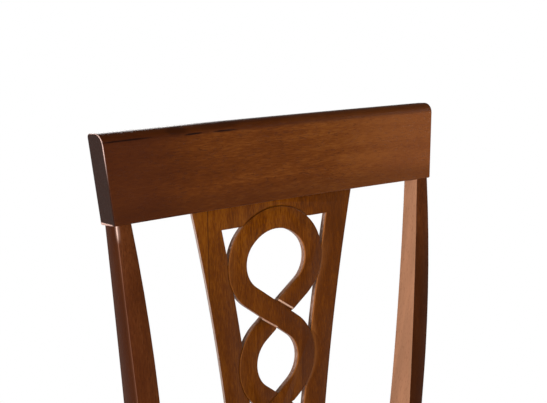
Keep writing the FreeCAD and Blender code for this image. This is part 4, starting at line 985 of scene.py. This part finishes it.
@dataclass
class Upholstery:
    """The stuffed seat pad under its stretched cloth, its plywood board and its dust cover."""

    voxel: float = 5.0 * MM
    shrink: float = 0.6 * MM
    pressure: float = 4.0
    quality: int = 4
    moments: int = 20
    cap: float = 7.0 * MM
    held_height: float = 12.0 * MM
    post_gap: float = 45.0 * MM
    post_fade: float = 40.0 * MM
    rail_gap: float = 4.0 * MM
    rail_fade: float = 20.0 * MM
    corner: float = 20.0 * MM
    corner_reach: float = 12.0 * MM
    pucker: float = 0.7 * MM
    pucker_height: float = 34.0 * MM
    pucker_waves: float = 11.0
    fill: float = 0.85
    roof_above: float = 5.0 * MM
    smooth_angle: float = 50.0

    def build(self, finishes: Finishes) -> None:
        """Makes the pad and dresses the board and dust cover.

        Args:
            finishes: the chair's finishes.
        """
        dress("seat_board", finishes.ply.material("seat_board", Grain.ACROSS, (0.1, 0.6, 0.3)))
        dress("dust_cover", finishes.lining.material())
        low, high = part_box("seat_pad")
        pad = merged_copy("seat_pad", "seat_pad_cover")
        recess = self.recess(pad, low)
        self.remesh(pad)
        rest = [corner.co.copy() for corner in pad.data.vertices]
        self.swell(pad, low)
        self.settle(pad, rest, low, high)
        finer = pad.modifiers.new("finer", "SUBSURF")
        finer.levels = 1
        finer.render_levels = 1
        cut = pad.modifiers.new("recess", "BOOLEAN")
        cut.operation = "DIFFERENCE"
        cut.solver = "EXACT"
        cut.object = recess
        baked(pad)
        bpy.data.objects.remove(recess)
        smooth(pad.data, self.smooth_angle)
        self.map_cloth(pad, high.z)
        pad.data.materials.clear()
        pad.data.materials.append(finishes.seat.material())
        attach(pad, "root")
        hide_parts("seat_pad")
        log.info("seat pad of %d faces", len(pad.data.polygons))

    def recess(self, pad: Object, low: Vector) -> Object:
        """Closes the board's recess under the pad and keeps its form as a cutter.

        Args:
            pad: the pad, whose underside comes back flat.
            low: its lowest corner.

        Returns:
            The cutter, from just under the pad up to the recess's roof.
        """
        work = opened(pad.data)
        above = low.z + self.roof_above
        roof = [f for f in work.faces if f.normal.z < -0.99 and f.calc_center_median().z > above]
        inner = set(roof)
        for face in roof:
            for edge in face.edges:
                inner.update(other for other in edge.link_faces if abs(other.normal.z) < 0.01)
        keys = {face.index for face in inner}
        cutter = work.copy()
        bmesh.ops.delete(work, geom=[face for face in work.faces if face in inner], context="FACES")
        self.close(work)
        closed(work, pad.data)
        cutter.faces.ensure_lookup_table()
        outer = [face for face in cutter.faces if face.index not in keys]
        bmesh.ops.delete(cutter, geom=outer, context="FACES")
        for corner in cutter.verts:
            if corner.co.z < above:
                corner.co.z -= self.roof_above
        self.close(cutter)
        shape = bpy.data.meshes.new("recess_cutter")
        closed(cutter, shape)
        return linked("recess_cutter", shape)

    def close(self, work: bmesh.types.BMesh) -> None:
        """Fills a mesh's open rim and turns its faces outwards."""
        rim = [edge for edge in work.edges if edge.is_boundary]
        bmesh.ops.holes_fill(work, edges=rim, sides=0)
        bmesh.ops.recalc_face_normals(work, faces=work.faces)

    def remesh(self, pad: Object) -> None:
        """Rebuilds the pad in even small faces, a little smaller than its form."""
        finer = pad.modifiers.new("even", "REMESH")
        finer.mode = "VOXEL"
        finer.voxel_size = self.voxel
        baked(pad)
        for corner in pad.data.vertices:
            corner.co = corner.co - corner.normal * self.shrink

    def swell(self, pad: Object, low: Vector) -> None:
        """Blows the pad up against its cloth, with its foot held."""
        held = pad.vertex_groups.new(name="held")
        indices = [c.index for c in pad.data.vertices if c.co.z < low.z + self.held_height]
        held.add(indices, 1.0, "REPLACE")
        cloth = pad.modifiers.new("cloth", "CLOTH")
        cloth.settings.use_pressure = True
        cloth.settings.uniform_pressure_force = self.pressure
        cloth.settings.effector_weights.gravity = 0.0
        cloth.settings.vertex_group_mass = "held"
        cloth.settings.quality = self.quality
        cloth.point_cache.frame_start = 1
        cloth.point_cache.frame_end = self.moments
        for moment in range(1, self.moments + 1):
            bpy.context.scene.frame_set(moment)
        baked(pad)
        bpy.context.scene.frame_set(1)

    def settle(self, pad: Object, rest: list[Vector], low: Vector, high: Vector) -> None:
        """Caps the swelling and keeps it clear of the posts and rails, then draws the puckers.

        Args:
            pad: the pad.
            rest: where its points were before it swelled.
            low: the pad's lowest corner.
            high: its highest corner.
        """
        for corner, was in zip(pad.data.vertices, rest):
            move = corner.co - was
            if move.length > self.cap:
                move = move * (self.cap / move.length)
            back = max(0.0, min(1.0, (high.y - self.post_gap - was.y) / self.post_fade))
            rise = max(0.0, min(1.0, (was.z - low.z - self.rail_gap) / self.rail_fade))
            move.x *= min(back, rise)
            move.y *= min(back, rise)
            move.z *= rise
            corner.co = was + move
        self.draw_puckers(pad, low, high)

    def draw_puckers(self, pad: Object, low: Vector, high: Vector) -> None:
        """Draws the cloth into small folds round the two front corners.

        Args:
            pad: the pad.
            low: the pad's lowest corner.
            high: its highest corner.
        """
        across = (high.x - low.x) / 2
        for corner in pad.data.vertices:
            side = math.copysign(1.0, corner.co.x)
            middle = Vector((side * (across - self.corner), low.y + self.corner))
            out = corner.co.xy - middle
            beyond = out.x * side > -self.corner_reach and out.y < self.corner_reach
            if not beyond or corner.co.z > high.z - self.corner_reach:
                continue
            turn = math.atan2(-out.y, out.x * side)
            rise = min(1.0, (corner.co.z - low.z) / self.pucker_height)
            fade = max(0.0, math.sin(math.pi * rise))
            wave = math.cos(turn * self.pucker_waves) * self.pucker * fade
            move = out.normalized() * (wave - self.pucker)
            corner.co.x += move.x
            corner.co.y += move.y

    def map_cloth(self, pad: Object, top: float) -> None:
        """Lays the weave over the top and down the sides without a break.

        Args:
            pad: the pad.
            top: the height of its highest point.
        """
        shape = pad.data
        sheet = shape.uv_layers.new(name="cloth")
        for face in shape.polygons:
            along, out, up = face.normal
            for index in face.loop_indices:
                x, y, z = shape.vertices[shape.loops[index].vertex_index].co
                if abs(along) > abs(out) and abs(along) >= abs(up):
                    x += math.copysign(top - z, along)
                elif abs(out) >= abs(up):
                    y += math.copysign(top - z, out)
                sheet.data[index].uv = (x, y)


@dataclass
class Hardware:
    """The screws of the corner blocks and of the seat, with dark crosses of painted shade for their cross
    recesses, and the leg glides.
    """

    screw_nodes: tuple[str, ...] = ("corner_block_screws", "seat_screws")
    cross_length: float = 4.4 * MM
    cross_width: float = 1.0 * MM
    cross_proud: float = 0.04 * MM
    level: float = 0.1 * MM

    def build(self, finishes: Finishes) -> None:
        """Dresses the hardware.

        Args:
            finishes: the chair's finishes.
        """
        steel = finishes.screw.material()
        for node in self.screw_nodes:
            dress(node, steel)
        dress("leg_glides", finishes.glide.material())
        heads = [head for node in self.screw_nodes for head in self.heads(node)]
        self.recesses(heads, finishes.recess.material())

    def heads(self, node: str) -> list[tuple[Vector, Vector]]:
        """Finds each screw's head from its mesh.

        Args:
            node: a node of screws.

        Returns:
            The centre of each head's face and the way it faces.
        """
        work = opened(frame["nodes"][node].data)
        bmesh.ops.remove_doubles(work, verts=work.verts, dist=WELD)
        seen = set()
        found = []
        for first in work.verts:
            if first in seen:
                continue
            seen.add(first)
            group = [first]
            for corner in group:
                near = [edge.other_vert(corner) for edge in corner.link_edges]
                near = [other for other in near if other not in seen]
                seen.update(near)
                group.extend(near)
            found.append(self.head_of(group))
        work.free()
        return found

    def head_of(self, group: list[bmesh.types.BMVert]) -> tuple[Vector, Vector]:
        """Gives the centre and facing of a screw's widest flat end."""
        ends: dict[tuple, list[bmesh.types.BMFace]] = {}
        for face in dict.fromkeys(face for corner in group for face in corner.link_faces):
            ends.setdefault(tuple(round(part, 2) for part in face.normal), []).append(face)

        def area(key: tuple) -> float:
            """Gives the area of the faces that lie in one plane at their far end."""
            reach = {face: face.calc_center_median().dot(Vector(key)) for face in ends[key]}
            far = max(reach.values())
            return sum(face.calc_area() for face in ends[key] if far - reach[face] < self.level)

        facing = Vector(max(ends, key=area)).normalized()
        far = max(corner.co.dot(facing) for corner in group)
        rim = [corner.co for corner in group if far - corner.co.dot(facing) < self.level]
        return sum(rim, Vector()) / len(rim), facing

    def recesses(self, heads: list[tuple[Vector, Vector]], material: Material) -> None:
        """Lays one dark cross on each head, painted shade for its cross recess.

        Args:
            heads: the centre and facing of each head.
            material: the dark finish of the crosses, painted shade.
        """
        shape = bpy.data.meshes.new("screw_recess_shades")
        shape.from_pydata([centre for centre, _ in heads], [], [])
        facing = shape.attributes.new("facing", "FLOAT_VECTOR", "POINT")
        for index, (_, way) in enumerate(heads):
            facing.data[index].vector = way
        piece = linked("screw_recess_shades", shape)
        layer = piece.modifiers.new("recesses", "NODES")
        layer.node_group, inputs = self.cross_tree()
        layer[inputs["Length"]] = self.cross_length
        layer[inputs["Width"]] = self.cross_width
        layer[inputs["Proud"]] = self.cross_proud
        layer[inputs["Finish"]] = material
        baked(piece)
        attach(piece, "root")
        log.info("%d cross recesses", len(heads))

    def cross_tree(self) -> tuple[bpy.types.NodeTree, dict[str, str]]:
        """Makes the tree that sets a cross on every point, turned the way the point faces.

        Returns:
            The tree, and the identifiers of its inputs by name.
        """
        tree = bpy.data.node_groups.new("cross_recesses", "GeometryNodeTree")
        kinds = {"Heads": "Geometry", "Length": "Float", "Width": "Float", "Proud": "Float"}
        kinds["Finish"] = "Material"
        inputs = {}
        for name, kind in kinds.items():
            socket = tree.interface.new_socket(name, in_out="INPUT", socket_type="NodeSocket" + kind)
            inputs[name] = socket.identifier
        tree.interface.new_socket("Recesses", in_out="OUTPUT", socket_type="NodeSocketGeometry")
        nodes = Tree(tree)
        given = nodes.add("NodeGroupInput").outputs
        joined = nodes.add("GeometryNodeJoinGeometry")
        for sides in (("Length", "Width", "Proud"), ("Width", "Length", "Proud")):
            span = {place: given[name] for place, name in enumerate(sides)}
            size = nodes.put("ShaderNodeCombineXYZ", span).outputs[0]
            bar = nodes.put("GeometryNodeMeshCube", {"Size": size})
            nodes.feed(bar.outputs["Mesh"], joined.inputs[0])
        way = nodes.put("GeometryNodeInputNamedAttribute", {"Name": "facing"}, data_type="FLOAT_VECTOR")
        turn = nodes.put("FunctionNodeAlignRotationToVector", {"Vector": way.outputs[0]}, axis="Z")
        spread = nodes.put(
            "GeometryNodeInstanceOnPoints",
            {"Points": given["Heads"], "Instance": joined.outputs[0], "Rotation": turn.outputs[0]},
        )
        real = nodes.put("GeometryNodeRealizeInstances", {0: spread.outputs[0]})
        painted = nodes.put(
            "GeometryNodeSetMaterial", {"Geometry": real.outputs[0], "Material": given["Finish"]}
        )
        nodes.put("NodeGroupOutput", {0: painted.outputs[0]})
        return tree, inputs


@dataclass(frozen=True)
class Lamp:
    """One soft square lamp: where it hangs, what it points at, its width and its power in watts."""

    name: str
    place: Point
    aim: Point
    size: float
    power: float

    def build(self) -> None:
        """Hangs the lamp."""
        data = bpy.data.lights.new(self.name, "AREA")
        data.shape = "SQUARE"
        data.size = self.size
        data.energy = self.power
        place = Vector(self.place)
        turn = (Vector(self.aim) - place).to_track_quat("-Z", "Y").to_matrix().to_4x4()
        linked(self.name, data).matrix_world = Matrix.Translation(place) @ turn


@dataclass
class Studio:
    """A plain pale floor, soft lamps and the camera."""

    floor_half: float = 60.0
    floor_tone: float = 0.88
    floor_roughness: float = 0.9
    near: float = 0.9
    far: float = 1.6
    world_level: float = 0.14
    eye: Point = (-0.79664, -0.69844, 1.17912)
    yaw: float = 41.0
    pitch: float = 14.006
    roll: float = 3.0
    focal: float = 1128.134
    frame_width: int = 547
    sensor: float = 36.0
    clip: Span = (0.05, 200.0)
    lamps: tuple[Lamp, ...] = (
        Lamp("front_soft", (-0.3, -2.8, 1.5), (0.0, 0.1, 0.75), 1.4, 46.0),
        Lamp("left_strip", (-2.4, -0.35, 0.95), (0.0, 0.1, 0.8), 0.6, 46.0),
        Lamp("right_soft", (1.6, -0.5, 1.5), (0.15, 0.2, 0.92), 0.6, 9.0),
        Lamp("back_soft", (0.8, 2.6, 1.6), (0.0, 0.1, 0.75), 1.4, 34.0),
    )

    def build(self) -> None:
        """Builds the camera, floor, world and lamps."""
        self.camera()
        self.floor()
        self.world()
        for lamp in self.lamps:
            lamp.build()

    def camera(self) -> None:
        """Sets the camera where the photograph was taken."""
        yaw, pitch, roll = (math.radians(value) for value in (self.yaw, self.pitch, self.roll))
        ahead = Vector((math.sin(yaw) * math.cos(pitch), math.cos(yaw) * math.cos(pitch), -math.sin(pitch)))
        level = Vector((math.cos(yaw), -math.sin(yaw), 0.0))
        rise = level.cross(ahead)
        right = level * math.cos(roll) + rise * math.sin(roll)
        up = rise * math.cos(roll) - level * math.sin(roll)
        data = bpy.data.cameras.new("camera")
        data.lens = self.sensor * self.focal / self.frame_width
        data.sensor_width = self.sensor
        data.clip_start, data.clip_end = self.clip
        made = linked("camera", data)
        turn = Matrix((right, up, -ahead)).transposed().to_4x4()
        made.matrix_world = Matrix.Translation(Vector(self.eye)) @ turn
        bpy.context.scene.camera = made

    def floor(self) -> None:
        """Lays the floor, which keeps the shadow near the chair and is white further off."""
        half = self.floor_half
        corners = [(-half, -half, 0), (half, -half, 0), (half, half, 0), (-half, half, 0)]
        shape = bpy.data.meshes.new("floor")
        shape.from_pydata(corners, [], [(0, 1, 2, 3)])
        made = linked("floor", shape)
        paint, tree, shader = new_material("pale_floor")
        tree.fill(shader, {
            "Base Color": (self.floor_tone,) * 3 + (1.0,),
            "Roughness": self.floor_roughness,
            "Specular IOR Level": 0.0,
        })
        glow = tree.add("ShaderNodeEmission")
        rays = tree.add("ShaderNodeLightPath").outputs
        seen = tree.math("MAXIMUM", rays["Is Camera Ray"], rays["Is Glossy Ray"])
        seen = tree.math("MAXIMUM", seen, rays["Is Transmission Ray"])
        place = tree.add("ShaderNodeTexCoord").outputs["Object"]
        reach = tree.put("ShaderNodeVectorMath", {0: place}, operation="LENGTH")
        share = tree.times(seen, tree.step(reach.outputs["Value"], self.near, self.far))
        mixed = tree.put("ShaderNodeMixShader", {0: share, 1: shader.outputs[0], 2: glow.outputs[0]})
        tree.feed(mixed.outputs[0], paint.node_tree.nodes["Material Output"].inputs["Surface"])
        shape.materials.append(paint)

    def world(self) -> None:
        """Sets a plain level of light all round."""
        made = bpy.data.worlds.new("studio")
        made.use_nodes = True
        back = made.node_tree.nodes["Background"]
        back.inputs["Color"].default_value = (1.0, 1.0, 1.0, 1.0)
        back.inputs["Strength"].default_value = self.world_level
        bpy.context.scene.world = made
        bpy.context.scene.view_settings.view_transform = "Standard"


def main() -> None:
    """Builds the whole scene in order."""
    logging.basicConfig(level=logging.INFO, format="%(name)s: %(message)s")
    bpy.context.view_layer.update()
    wood_figure_group()
    weave_group()
    finishes = Finishes()
    Studio().build()
    BackFrame().build(finishes)
    Splat().build(finishes)
    SeatFrame().build(finishes)
    Upholstery().build(finishes)
    Hardware().build(finishes)


if __name__ == "__main__":
    main()
